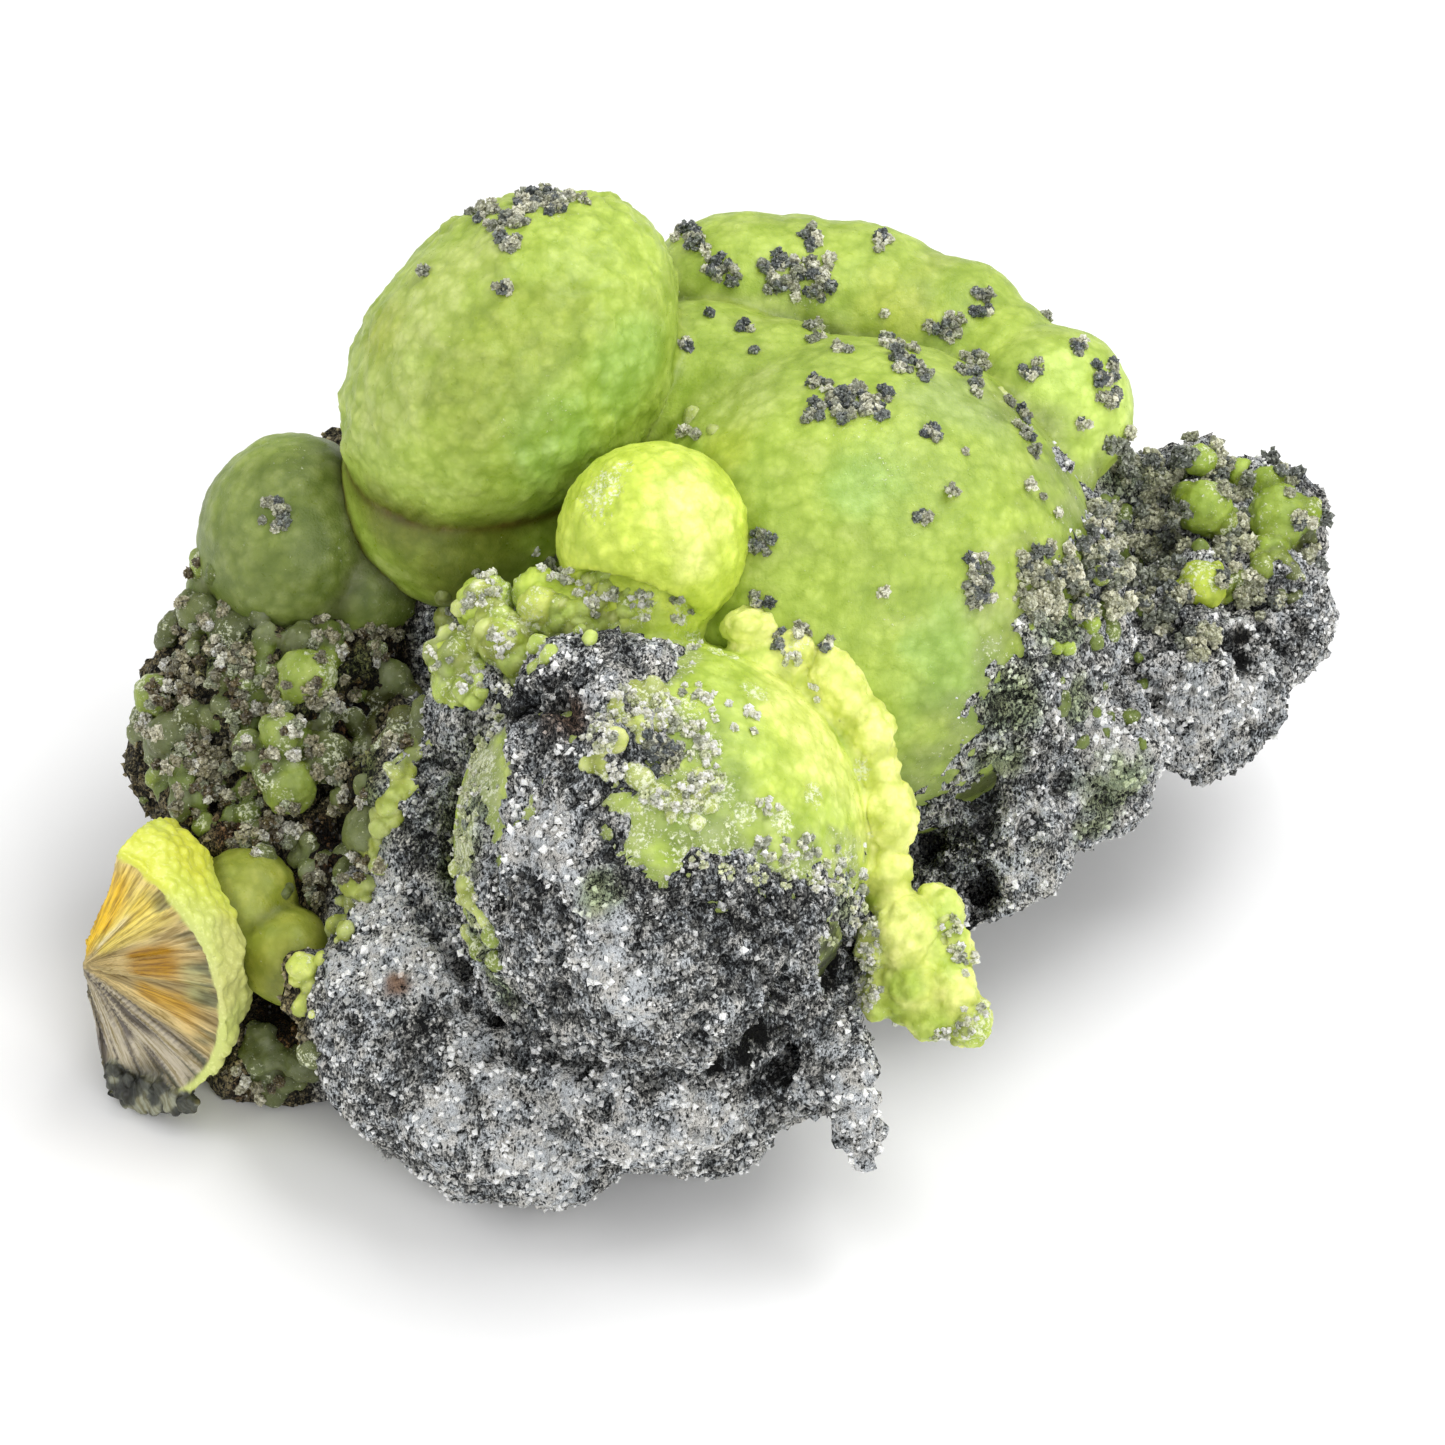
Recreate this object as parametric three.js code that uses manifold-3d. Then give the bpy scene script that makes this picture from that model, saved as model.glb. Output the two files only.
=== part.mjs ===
// A hand specimen of wavellite: balls of radiating green crystal grown on a broken piece of grey rock.
// Millimetres, +Z up. The origin is on the flat cleaved underside, where the specimen rests.
import * as THREE from "three";
import { ConvexGeometry } from "three/addons/geometries/ConvexGeometry.js";
import { mergeVertices } from "three/addons/utils/BufferGeometryUtils.js";
import Module from "manifold-3d";

const wasm = await Module();
wasm.setup();

// Driving dimensions
const LEAN = THREE.MathUtils.degToRad(40); // the face that carries the crystals leans back this far
const FACE_HEIGHT = 18; // the middle of that face over the underside
const GAP = 0.3; // clearance between neighbouring solids
const FACET_SAG = 0.12; // how far the middle of a facet lies inside a ball's true surface
const BEAD_RADIUS = 1.95; // balls smaller than this are beads, with fewer facets
const BALL_UNEVENNESS = 0.025; // as a share of the ball's radius
const STONE_SPACING = 3.5; // distance between the corners of the rock's faces
const HIDDEN_SPACING = 5.5; // and on the masses behind
const STONE_UNEVENNESS = 0.08;
const CLUMP_CORNERS = 10; // corners of a clump of grains
const STONE_CORNERS = 24; // the fewest corners of a stone
const FLOOR_CLEARANCE = 0.5; // the broken ball's height over the underside
const BLOCK = 200; // larger than the specimen

// Places are given on the leaning face: across to the right, up the face, and out toward the viewer.
const faceFrame = new THREE.Matrix4()
  .makeTranslation(0, 0, FACE_HEIGHT)
  .multiply(new THREE.Matrix4().makeRotationX(Math.PI / 2 - LEAN));
// The hidden masses are given level: across, back and up from the underside.
const levelFrame = new THREE.Matrix4();

// The grey rock: an uneven block for each mass, with its three radii.
const hiddenStones = [
  { at: [-8, 1, 8], size: [17, 15, 12.5] },
  { at: [6, 9, 10.5], size: [12.5, 12.5, 12.5] },
  { at: [8, 17, 12.5], size: [16.5, 10.5, 12.5] },
  { at: [-9, 14, 13.5], size: [17, 12.5, 13] },
  { at: [0, 17, 22], size: [14, 10, 10] },
];
const knobStones = [
  { at: [-5.4, -6.8, 9.8], size: [7.5, 9.6, 10.6] },
  { at: [-2.9, -9.5, 9.2], size: [10.4, 8.9, 10.9] },
  { at: [-6, 2.4, 12.2], size: [4.8, 2.5, 3.8] },
  { at: [-11, 0.5, 6], size: [4.5, 4.5, 4.5] },
];
const plateStones = [
  { at: [-15, -15, 4], size: [6.8, 8, 5.5] },
  { at: [-11, -19.5, 4.5], size: [7, 6, 6] },
  { at: [-3, -18.5, 6], size: [7, 5.5, 6] },
  { at: [3, -15.5, 6], size: [4.5, 5.5, 6] },
  { at: [-15.5, -5.5, 3], size: [4, 6.5, 5] },
];
const spurStones = [
  { at: [5.2, -17, 10.5], size: [2.6, 3.2, 2.4] },
  { at: [6.8, -20, 11], size: [1.3, 3.6, 1.5], turn: 14 },
];
const leftStones = [
  { at: [-22.5, 2, -7], size: [8, 6.5, 7] },
  { at: [-26.6, -0.8, -8.5], size: [5.2, 6.8, 6.5] },
  { at: [-21, -6, -6], size: [7.5, 6, 6.5] },
  { at: [-22.8, -17, -6.5], size: [6, 4.4, 6] },
];
const rightStones = [
  { at: [13.5, -5, -3], size: [5.5, 6, 6] },
  { at: [18.5, -1.5, -6], size: [5.5, 5.5, 6] },
  { at: [24.5, 2.5, -10], size: [6.5, 5.5, 6.5] },
  { at: [28.6, 5.8, -13], size: [4.8, 5, 6] },
  { at: [25.5, 9.5, -16], size: [7.5, 5.5, 6] },
  { at: [9.8, -11, 4.5], size: [3, 6, 4.5] },
  { at: [9.4, 5.9, -3.4], size: 11.8 },
];
const pits = [
  { at: [10.8, -6.6, 3], size: [1.7, 1.3, 5] },
  { at: [13.6, -9, 1], size: [1.2, 2, 5] },
  { at: [5.7, -12.2, 13.5], size: [1.3, 1.7, 4] },
];

// The green crystal, each with its radius or three radii. Balls that touch grew into each other.
const mainBalls = [
  { at: [-11.1, 18.7, 0.8], size: [10.3, 7.6, 8.8], turn: 49 },
  { at: [-13.5, 12.6, -2], size: 6.6 },
  { at: [6.8, 7, -3], size: 13.4 },
  { at: [-1, 15.5, -4.5], size: [7, 7, 6.5] },
  { at: [1.1, 22.3, -10], size: [5.6, 5.3, 6] },
  { at: [6.8, 22.3, -10.5], size: [6, 4.8, 6] },
  { at: [12, 20, -9.5], size: 5 },
  { at: [17.3, 16.7, -6], size: 4.7 },
];
const leftBalls = [
  { at: [-22.9, 9.8, -4], size: [5, 5.6, 5.3] },
  { at: [-19, 7.3, -4], size: 3.4 },
  { at: [-26.9, 7.2, -5], size: 1.6 },
];
const frontBalls = [
  { at: [-3.2, -6.3, 9], size: 10.6 },
  { at: [-4.2, 6.1, 7.2], size: 3.7 },
];
// The bud over them lost a shell-shaped flake from its lower edge.
const bud = { at: [-3.5, 9.4, 8], size: 5 };
const budFlake = { at: [-5.3, 3.4, 12.5], size: 4.7 };
const edgeBeads = [
  { at: [4, 3.4, 9.5], size: 1.4 },
  { at: [6, 1.5, 9], size: [1.8, 2.8, 2.2], turn: 40 },
  { at: [7.6, -1.1, 9], size: 1.9 },
  { at: [8.4, -3.6, 9], size: 1.8 },
  { at: [8.7, -5.7, 9], size: 1.6 },
  { at: [8.5, -8, 9], size: 1.4 },
  { at: [9.4, -10.6, 9], size: 2.3 },
  { at: [10.6, -13.5, 9], size: 2.5 },
  { at: [12.3, -15.4, 9], size: 1.7 },
];
const ledgeBeads = [
  { at: [-9.4, 6.3, 9], size: [1.2, 1.5, 1.2] },
  { at: [-12.2, 6, 8], size: 1.4 },
  { at: [-11.2, 4.1, 9], size: 1.5 },
  { at: [-13.6, 3.4, 8], size: 1.4 },
  { at: [-13.2, 1.2, 8], size: 1.3 },
  { at: [-10.3, 2.6, 9], size: 1.5 },
  { at: [-7.6, 5.4, 8.5], size: 2 },
];
const lowBalls = [
  { at: [-25.1, -9.3, 0], size: 2.8 },
  { at: [-22.8, -12.2, 1], size: 2.6 },
];
const slopeBeads = [
  { at: [-22, 1.8, 0], size: 1.6 },
  { at: [-23.1, -3.2, 0.6], size: 1.5 },
  { at: [-23, -0.6, 0.6], size: 1.1 },
  { at: [-24.6, -1.6, 0.2], size: 1.3 },
  { at: [-20.6, -1.8, 0], size: 1.4 },
  { at: [-28.5, -4.3, -3], size: 1.4 },
  { at: [-27.5, 5.4, -4], size: 1.3 },
];
const rimBeads = [
  { at: [-21.6, -12.7, 4], size: 1.1 },
  { at: [-21.8, -14.6, 4], size: 1.1 },
  { at: [-19.8, -10.6, 4], size: 1 },
  { at: [-18.8, -8.1, 4.5], size: 1.1 },
  { at: [-18, -5.9, 5], size: 1.1 },
  { at: [-17.2, -3.9, 5], size: 1 },
];
const shelfBeads = [
  { at: [25.6, 11.5, -10], size: 1.7 },
  { at: [26.2, 14.2, -12], size: 1.3 },
  { at: [25.6, 7.6, -8], size: 1.9 },
  { at: [30.6, 11, -12], size: 2.4 },
  { at: [29.4, 13.2, -12.5], size: 1.5 },
];

// The broken ball: its radiating needles meet at its middle, which the break laid bare.
const brokenBall = { at: [-33.7, -12.8, 0.5], size: 8.9 };
const BREAKS = [
  [-0.47, -0.5, 0.73], // the fan-shaped face, as its outward normal
  [-0.86, 0.46, -0.13], // the upper left edge
  [-0.95, 0.05, -0.29], // the lower left edge
];

// Clumps of grey grains, as [across, up, radius], laid on whatever the face has there.
const ballClumps = [
  [-9.2, 27.6, 1.5],
  [-12, 26, 1.3],
  [-11.4, 24.4, 1],
  [2.9, 23.4, 1.6],
  [5, 22.6, 1.7],
  [-1, 24.6, 1.2],
  [-0.6, 22.8, 1.1],
  [9.5, 19, 1.4],
  [5.5, 16.8, 1.6],
  [7.4, 16.4, 1.4],
  [13, 22, 1.5],
  [12.5, 18.7, 1.3],
  [15.6, 15.4, 1.2],
  [16, 14.2, 1],
  [19.8, 17.8, 1.1],
  [16, 18, 0.9],
  [13.2, 7.2, 1.4],
  [2.4, 9.5, 0.9],
];
const SLOPE_CLUMPS = { count: 14, across: [-29, -16], up: [-7.5, 5.5], radius: [0.8, 1.5], seed: 4 };
const SHELF_CLUMPS = { count: 14, across: [19, 31], up: [5, 13.5], radius: [0.8, 1.5], seed: 8 };

// A repeatable number from 0 to 1 for a lattice point.
function chance(i, j, k, seed) {
  let h = Math.imul(i, 374761393) ^ Math.imul(j, 668265263) ^ Math.imul(k, 2147483647) ^ Math.imul(seed, 1274126177);
  h = Math.imul(h ^ (h >>> 13), 1274126177);
  return ((h ^ (h >>> 16)) >>> 0) / 4294967296;
}

const fade = (t) => t * t * (3 - 2 * t);

// Smooth noise from -1 to 1, with swellings about `scale` mm across.
function noise(point, scale, seed) {
  const [x, y, z] = [point.x / scale, point.y / scale, point.z / scale];
  const [i, j, k] = [Math.floor(x), Math.floor(y), Math.floor(z)];
  const [fx, fy, fz] = [fade(x - i), fade(y - j), fade(z - k)];
  let sum = 0;
  for (const a of [0, 1])
    for (const b of [0, 1])
      for (const c of [0, 1]) {
        const weight = (a ? fx : 1 - fx) * (b ? fy : 1 - fy) * (c ? fz : 1 - fz);
        sum += weight * chance(i + a, j + b, k + c, seed);
      }
  return 2 * sum - 1;
}

function toSolid(geometry) {
  const bare = geometry.clone();
  bare.deleteAttribute("normal");
  bare.deleteAttribute("uv");
  const merged = mergeVertices(bare, 1e-4);
  return new wasm.Manifold(
    new wasm.Mesh({
      numProp: 3,
      vertProperties: new Float32Array(merged.attributes.position.array),
      triVerts: new Uint32Array(merged.index.array),
    })
  );
}

function toGeometry(solid) {
  const mesh = solid.getMesh();
  const geometry = new THREE.BufferGeometry();
  geometry.setAttribute("position", new THREE.BufferAttribute(new Float32Array(mesh.vertProperties), 3));
  geometry.setIndex(new THREE.BufferAttribute(new Uint32Array(mesh.triVerts), 1));
  const faceted = geometry.toNonIndexed();
  faceted.computeVertexNormals();
  return faceted;
}

const radiiOf = ({ size }) => new THREE.Vector3(...(Array.isArray(size) ? size : [size, size, size]));
const seedOf = ({ at }) => Math.round(at[0] * 10 + at[1] * 100 + at[2] * 7);

// Where a lump stands: `turn` is its turn in the face's own plane, in degrees.
function placeOf({ at, turn = 0 }, frame) {
  return frame
    .clone()
    .multiply(new THREE.Matrix4().makeTranslation(...at))
    .multiply(new THREE.Matrix4().makeRotationZ(THREE.MathUtils.degToRad(turn)));
}

// A crystal ball: a slightly uneven ellipsoid, `grow` mm larger all round.
function ball(one, grow = 0) {
  const radii = radiiOf(one);
  const largest = Math.max(...radii.toArray());
  const divisions = Math.max(2, Math.round(1.1 * Math.sqrt(largest / (8 * FACET_SAG))));
  const geometry =
    largest < BEAD_RADIUS ? new THREE.OctahedronGeometry(1, 1) : new THREE.IcosahedronGeometry(1, divisions - 1);
  const position = geometry.attributes.position;
  const direction = new THREE.Vector3();
  const point = new THREE.Vector3();
  for (let n = 0; n < position.count; n++) {
    direction.fromBufferAttribute(position, n).normalize();
    point.copy(direction).multiply(radii);
    const swell = 1 + BALL_UNEVENNESS * noise(point, 0.6 * largest, seedOf(one));
    point.multiplyScalar(swell).addScaledVector(direction, grow);
    position.setXYZ(n, point.x, point.y, point.z);
  }
  geometry.applyMatrix4(placeOf(one, faceFrame));
  return toSolid(geometry);
}

// A broken stone: the hull of corners scattered evenly over an ellipsoid, `grow` mm larger all round.
function stone(one, { frame = faceFrame, spacing = STONE_SPACING, corners = 0, grow = 0 }) {
  const radii = radiiOf(one);
  const seed = seedOf(one);
  const [a, b, c] = radii.toArray();
  const area = (4 * Math.PI * (a * b + b * c + c * a)) / 3;
  const count = corners || Math.max(STONE_CORNERS, Math.round(area / spacing ** 2));
  const golden = Math.PI * (3 - Math.sqrt(5));
  const points = [];
  for (let n = 0; n < count; n++) {
    const up = 1 - (2 * (n + 0.5)) / count + (chance(n, 1, 1, seed) - 0.5) * (1 / count);
    const turn = golden * n + chance(n, 2, 1, seed) * 0.5;
    const flat = Math.sqrt(Math.max(0, 1 - up * up));
    const direction = new THREE.Vector3(flat * Math.cos(turn), flat * Math.sin(turn), up);
    const reach = 1 + STONE_UNEVENNESS * (2 * chance(n, 3, 1, seed) - 1);
    points.push(direction.clone().multiply(radii).multiplyScalar(reach).addScaledVector(direction, grow));
  }
  const geometry = new ConvexGeometry(points);
  geometry.applyMatrix4(placeOf(one, frame));
  return toSolid(geometry);
}

const balls = (list, grow = 0) => list.map((one) => ball(one, grow));
const stones = (list, options = {}) => list.map((one) => stone(one, options));
const join = (...solids) => wasm.Manifold.union(solids.flat());

// The largest body of a solid, so that slivers left by a cut go.
function mainBody(solid) {
  return solid.decompose().reduce((best, body) => (body.volume() > best.volume() ? body : best));
}

// Everything below the height `z`, as a block.
function blockBelow(z) {
  const geometry = new THREE.BoxGeometry(BLOCK, BLOCK, BLOCK);
  geometry.translate(0, 0, z - BLOCK / 2);
  return toSolid(geometry);
}

// Everything beyond a plane through `at` on the face, on the side of `normal`.
function blockBeyond(at, normal) {
  const geometry = new THREE.BoxGeometry(BLOCK, BLOCK, BLOCK);
  geometry.translate(0, 0, BLOCK / 2);
  const direction = new THREE.Vector3(...normal).normalize();
  const turn = new THREE.Quaternion().setFromUnitVectors(new THREE.Vector3(0, 0, 1), direction);
  geometry.applyQuaternion(turn);
  geometry.applyMatrix4(faceFrame.clone().multiply(new THREE.Matrix4().makeTranslation(...at)));
  return toSolid(geometry);
}

// How far out the face's surface stands at a place across and up it, or null where none of the lumps is there.
function heightOf(across, up, lumps) {
  let height = null;
  for (const one of lumps) {
    const radii = radiiOf(one);
    const turn = THREE.MathUtils.degToRad(one.turn ?? 0);
    const [x, y] = [across - one.at[0], up - one.at[1]];
    const u = (x * Math.cos(turn) + y * Math.sin(turn)) / radii.x;
    const v = (-x * Math.sin(turn) + y * Math.cos(turn)) / radii.y;
    const inside = 1 - u * u - v * v;
    if (inside <= 0) continue;
    const top = one.at[2] + radii.z * Math.sqrt(inside);
    if (height === null || top > height) height = top;
  }
  return height;
}

// A clump of grains at a place on the face, sunk by a third into what it grew on.
function clump([across, up, radius], lumps) {
  const height = heightOf(across, up, lumps);
  if (height === null) return [];
  const size = [radius, radius * 0.8, radius * 0.8];
  return [stone({ at: [across, up, height - radius / 3], size, turn: 40 * across }, { corners: CLUMP_CORNERS })];
}

// Clumps scattered over a stretch of the face.
function scatter({ count, across, up, radius, seed }, lumps) {
  const between = ([low, high], n, k) => low + (high - low) * chance(n, k, 5, seed);
  return Array.from({ length: count }, (_, n) =>
    clump([between(across, n, 1), between(up, n, 2), between(radius, n, 3)], lumps)
  ).flat();
}

const crustBeads = [...slopeBeads, ...rimBeads, ...shelfBeads];
const faceStones = [...knobStones, ...plateStones, ...spurStones, ...leftStones, ...rightStones];

// The whole rock before its underside is cut, `grow` mm larger all round.
function rock(grow) {
  return join(
    stones(hiddenStones, { frame: levelFrame, spacing: HIDDEN_SPACING, grow }),
    stones(faceStones, { grow }),
    balls(crustBeads, grow)
  );
}

const rockGrown = join(rock(GAP), blockBelow(0));
const mainGrown = join(balls(mainBalls, GAP));
const leftGrown = join(balls(leftBalls, GAP));

function matrix() {
  const clumps = [...scatter(SLOPE_CLUMPS, leftStones), ...scatter(SHELF_CLUMPS, rightStones)];
  const crystals = [...mainBalls, ...leftBalls, ...frontBalls, bud, ...lowBalls, brokenBall];
  const room = join(balls(crystals, GAP), balls([...edgeBeads, ...ledgeBeads], GAP));
  const hollows = join(balls(pits), blockBelow(0));
  return mainBody(join(rock(0), join(clumps).subtract(room)).subtract(hollows));
}

function mainCrystal() {
  const clumps = ballClumps.flatMap((one) => clump(one, mainBalls));
  return mainBody(join(balls(mainBalls), clumps).subtract(rockGrown));
}

function frontCrystal() {
  const whole = join(ball(bud).subtract(ball(budFlake)), balls([...frontBalls, ...edgeBeads, ...ledgeBeads]));
  return mainBody(whole.subtract(rockGrown).subtract(mainGrown));
}

function leftCrystal() {
  return mainBody(join(balls(leftBalls)).subtract(rockGrown).subtract(mainGrown));
}

function brokenCrystal() {
  const sides = BREAKS.map((normal) => blockBeyond(brokenBall.at, normal));
  return mainBody(
    ball(brokenBall).subtract(join(sides)).subtract(rockGrown).subtract(blockBelow(FLOOR_CLEARANCE))
  );
}

function lowCrystal() {
  const broken = ball(brokenBall, GAP);
  return mainBody(join(balls(lowBalls)).subtract(rockGrown).subtract(leftGrown).subtract(broken));
}

const stoneGrey = { color: 0x77797a, roughness: 0.9, metalness: 0 };
const appleGreen = { color: 0x9fb84a, roughness: 0.5, metalness: 0 };
const limeGreen = { color: 0xb9cf4c, roughness: 0.5, metalness: 0 };
const sageGreen = { color: 0x86994f, roughness: 0.55, metalness: 0 };
const amber = { color: 0xa88f45, roughness: 0.45, metalness: 0 };

const specimen = new THREE.Group();
for (const [name, make, finish] of [
  ["matrix", matrix, stoneGrey],
  ["wavellite_main", mainCrystal, appleGreen],
  ["wavellite_front", frontCrystal, limeGreen],
  ["wavellite_left", leftCrystal, sageGreen],
  ["wavellite_broken_ball", brokenCrystal, amber],
  ["wavellite_low_pair", lowCrystal, limeGreen],
]) {
  const mesh = new THREE.Mesh(toGeometry(make()), new THREE.MeshStandardMaterial(finish));
  mesh.name = name;
  specimen.add(mesh);
}

export default specimen;
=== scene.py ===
import math

import bmesh
import bpy
import numpy as np
from mathutils import Matrix, Vector
from mathutils.bvhtree import BVHTree


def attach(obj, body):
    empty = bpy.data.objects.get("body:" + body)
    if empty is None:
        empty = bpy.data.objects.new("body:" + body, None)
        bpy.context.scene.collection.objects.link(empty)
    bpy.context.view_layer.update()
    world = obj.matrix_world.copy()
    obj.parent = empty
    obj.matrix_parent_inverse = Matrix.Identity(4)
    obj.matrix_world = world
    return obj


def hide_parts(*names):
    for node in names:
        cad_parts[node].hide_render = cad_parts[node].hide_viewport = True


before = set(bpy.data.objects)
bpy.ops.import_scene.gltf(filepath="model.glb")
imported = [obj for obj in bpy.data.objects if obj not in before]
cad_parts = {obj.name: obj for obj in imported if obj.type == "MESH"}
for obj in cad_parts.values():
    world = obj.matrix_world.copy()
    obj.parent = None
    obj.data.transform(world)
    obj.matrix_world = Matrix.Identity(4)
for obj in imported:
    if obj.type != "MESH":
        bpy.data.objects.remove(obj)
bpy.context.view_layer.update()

MM = 0.001  # metres in a millimetre

# The photograph's camera, with lengths in millimetres
PHOTO_SIDE = 1445  # pixels
PIXELS_PER_MM = 19
CAMERA_DISTANCE = 360
SENSOR = 36
LEAN = math.radians(40)  # how far the face with the crystals leans back: the camera looks at it squarely
FACE_HEIGHT = 18  # the middle of that face over the underside

ACROSS = np.array([1.0, 0.0, 0.0])
UP = np.array([0.0, math.sin(LEAN), math.cos(LEAN)])
OUT = np.array([0.0, -math.cos(LEAN), math.sin(LEAN)])
FACE_MIDDLE = np.array([0.0, 0.0, FACE_HEIGHT])
CAMERA_PLACE = FACE_MIDDLE + CAMERA_DISTANCE * OUT

# How fine each skin is: the width of its faces in mm, and the most triangles kept where hidden ones can go
FINENESS = {
    "rock": (0.27, 116000),
    "main": (0.28, 95000),
    "front": (0.2, 104000),
    "left": (0.24, 20000),
    "low": (0.24, 12000),
    "broken": (0.15, 80000),
    "beads": (0.19, 104000),
}
CRUMBS = 14000  # how many crumbs lie over the rock


def as_balls(*rows):
    """Balls from rows of numbers: across, up and out on the leaning face, one radius or three, and for some a
    turn in degrees. Each comes as its place, its radii and its turn.
    """
    return [
        (row[:3], row[3:6] if len(row) > 4 else row[3:] * 3, row[6] if len(row) > 6 else 0) for row in rows
    ]


# The crystal balls, as in the solids
MAIN_BALLS = as_balls(
    (-11.1, 18.7, 0.8, 10.3, 7.6, 8.8, 49), (-13.5, 12.6, -2, 6.6), (6.8, 7, -3, 13.4),
    (-1, 15.5, -4.5, 7, 7, 6.5), (1.1, 22.3, -10, 5.6, 5.3, 6), (6.8, 22.3, -10.5, 6, 4.8, 6),
    (12, 20, -9.5, 5), (17.3, 16.7, -6, 4.7),
)
FILLS = as_balls(  # what fills the creases between some of them
    (1.5, 15, -3.4, 7.5, 6.5, 6.3), (4, 22.6, -10.3, 4.6, 4.8, 5.6), (9.4, 21.3, -10, 4.5, 4.6, 5.2),
    (14.8, 18.6, -8.2, 4.2, 4.2, 4.6), (16.8, 13.6, -4.2, 3.2),
)
LEFT_BALLS = as_balls(
    (-22.9, 9.8, -4, 5, 5.6, 5.3), (-19, 7.3, -4, 3.4), (-26.9, 7.2, -5, 1.6),
)
FRONT_BALLS = as_balls(
    (-3.2, -6.3, 9, 10.6), (-4.2, 6.1, 7.2, 3.7),
)
# The bud, and the shell-shaped flake that it lost
BUD, BUD_FLAKE = as_balls((-3.5, 9.4, 8, 5), (-5.7, 3.0, 9.6, 5.1))
EDGE_BEADS = as_balls(
    (1.4, 4.9, 9.4, 1.35, 1.0, 1.2), (3.8, 3.7, 9.5, 1.1, 0.9, 1.2, -30),
    (6.0, 1.9, 9.3, 2.4, 1.25, 1.6, -62), (7.6, -0.4, 9.1, 1.7, 1.2, 1.5, -65),
    (8.1, -2.2, 9, 1.1, 1.3, 1.4), (8.6, -4.7, 9, 1.4, 2.1, 1.8, 6), (8.5, -7.6, 9, 1.2, 1.2, 1.3),
    (9.4, -10.8, 9.2, 1.7, 1.95, 1.9), (11.1, -9.8, 8.4, 1.3, 1.4, 1.3), (11.8, -11.6, 8.4, 1.1, 1.3, 1.2),
    (9.9, -13.7, 9, 2.0, 1.7, 1.7), (11.6, -13.7, 9, 1.5, 1.9, 1.6, 20), (12.6, -15.4, 9, 1.3, 1.4, 1.3),
    (11.2, -15.2, 9, 1.9, 1.1, 1.3), (7.7, -11.4, 9, 0.8, 1.3, 1.2), (8.0, -13.9, 8.8, 0.8, 1.3, 1.2),
)
EDGE_FILLS = as_balls(  # what joins them to the ball
    (2.6, 3.2, 9, 2.4, 1.4, 1.4, -20), (5.2, 0.9, 8.6, 2.6, 1.3, 1.6, -50),
    (6.6, -1.6, 8.4, 2.6, 1.4, 1.6, -68), (7.4, -4.6, 8.4, 1.5, 2.2, 1.6), (7.4, -7.2, 8.4, 1.3, 1.6, 1.5),
    (8.6, -9.2, 8.6, 1.2, 1.2, 1.3), (10.6, -12.2, 8.6, 1.8, 1.6, 1.4),
)
LEDGE_BEADS = as_balls(
    (-9.4, 6.3, 9, 1.2, 1.5, 1.2), (-12.2, 6, 8, 1.4), (-11.2, 4.1, 9, 1.5), (-13.6, 3.4, 8, 1.4),
    (-13.2, 1.2, 8, 1.3), (-10.3, 2.6, 9, 1.5), (-7.6, 5.4, 8.5, 2),
)
LOW_BALLS = as_balls(
    (-25.1, -9.3, 0, 2.8), (-22.8, -12.2, 1, 2.6),
)
BROKEN_BALL = as_balls((-33.7, -12.8, 0.5, 8.9))[0]
BREAKS = [(-0.47, -0.5, 0.73), (-0.86, 0.46, -0.13), (-0.95, 0.05, -0.29)]  # its broken faces' normals
BROKEN_HEIGHT = 0.5  # its lowest part over the underside


def linear(red, green, blue):
    """A colour given as 0 to 255 for a screen, as the shaders' linear colour."""
    share = np.array([red, green, blue]) / 255
    return np.where(share <= 0.04045, share / 12.92, ((share + 0.055) / 1.055) ** 2.4)


def shades(*rows):
    return np.array([linear(*row) for row in rows])


def screen(red, green, blue):
    """A screen's colour as a shader's socket takes it, with its opacity."""
    return (*(float(c) for c in linear(red, green, blue)), 1.0)


def on_face(across, up, out):
    """A place on the leaning face, in the frame's axes."""
    return FACE_MIDDLE + across * ACROSS + up * UP + out * OUT


# Noise

def chance(cells, seed):
    """A repeatable number from 0 to 1 for each lattice cell, a row of three whole numbers."""
    c = cells.astype(np.int64)
    h = (c[:, 0] * 374761393) ^ (c[:, 1] * 668265263) ^ (c[:, 2] * 2147483647) ^ (seed * 1274126177)
    h = (h ^ (h >> 13)) * 1274126177
    h = (h ^ (h >> 16)) & 0xFFFFFF
    return h / float(0xFFFFFF)


def noise(points, scale, seed):
    """Smooth noise from -1 to 1, with swellings about `scale` mm across."""
    place = points / scale
    cell = np.floor(place)
    t = place - cell
    t = t * t * (3 - 2 * t)
    total = np.zeros(len(points))
    for corner in np.ndindex(2, 2, 2):
        weight = np.prod(np.where(corner, t, 1 - t), axis=1)
        total += weight * chance(cell + corner, seed)
    return 2 * total - 1


def rough(points, scale, seed, octaves=3):
    """Noise with finer noise on it."""
    return sum(noise(points, scale / 2**n, seed + n) / 2**n for n in range(octaves))


def noise_steps(points, scale, seed):
    """Noise of its own along each axis."""
    return np.stack([noise(points, scale, seed + k) for k in range(3)], axis=1)


FAR = 9.0  # more than any squared step to the nearest site
DOME_WIDTH = 0.62  # as a share of their spacing


def places_in(cells, seed):
    """A repeatable place, from 0 to 1 along each axis, in each lattice cell."""
    return np.stack([chance(cells, seed + k) for k in range(3)], axis=1)


def sites_near(points, spacing, seed):
    """For the 27 lattice cells round each point: the cells, and the step to the point from a site in them."""
    place = points / spacing
    cell = np.floor(place)
    for step in np.ndindex(3, 3, 3):
        other = cell + np.array(step) - 1
        yield other, place - (other + places_in(other, seed))


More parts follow.
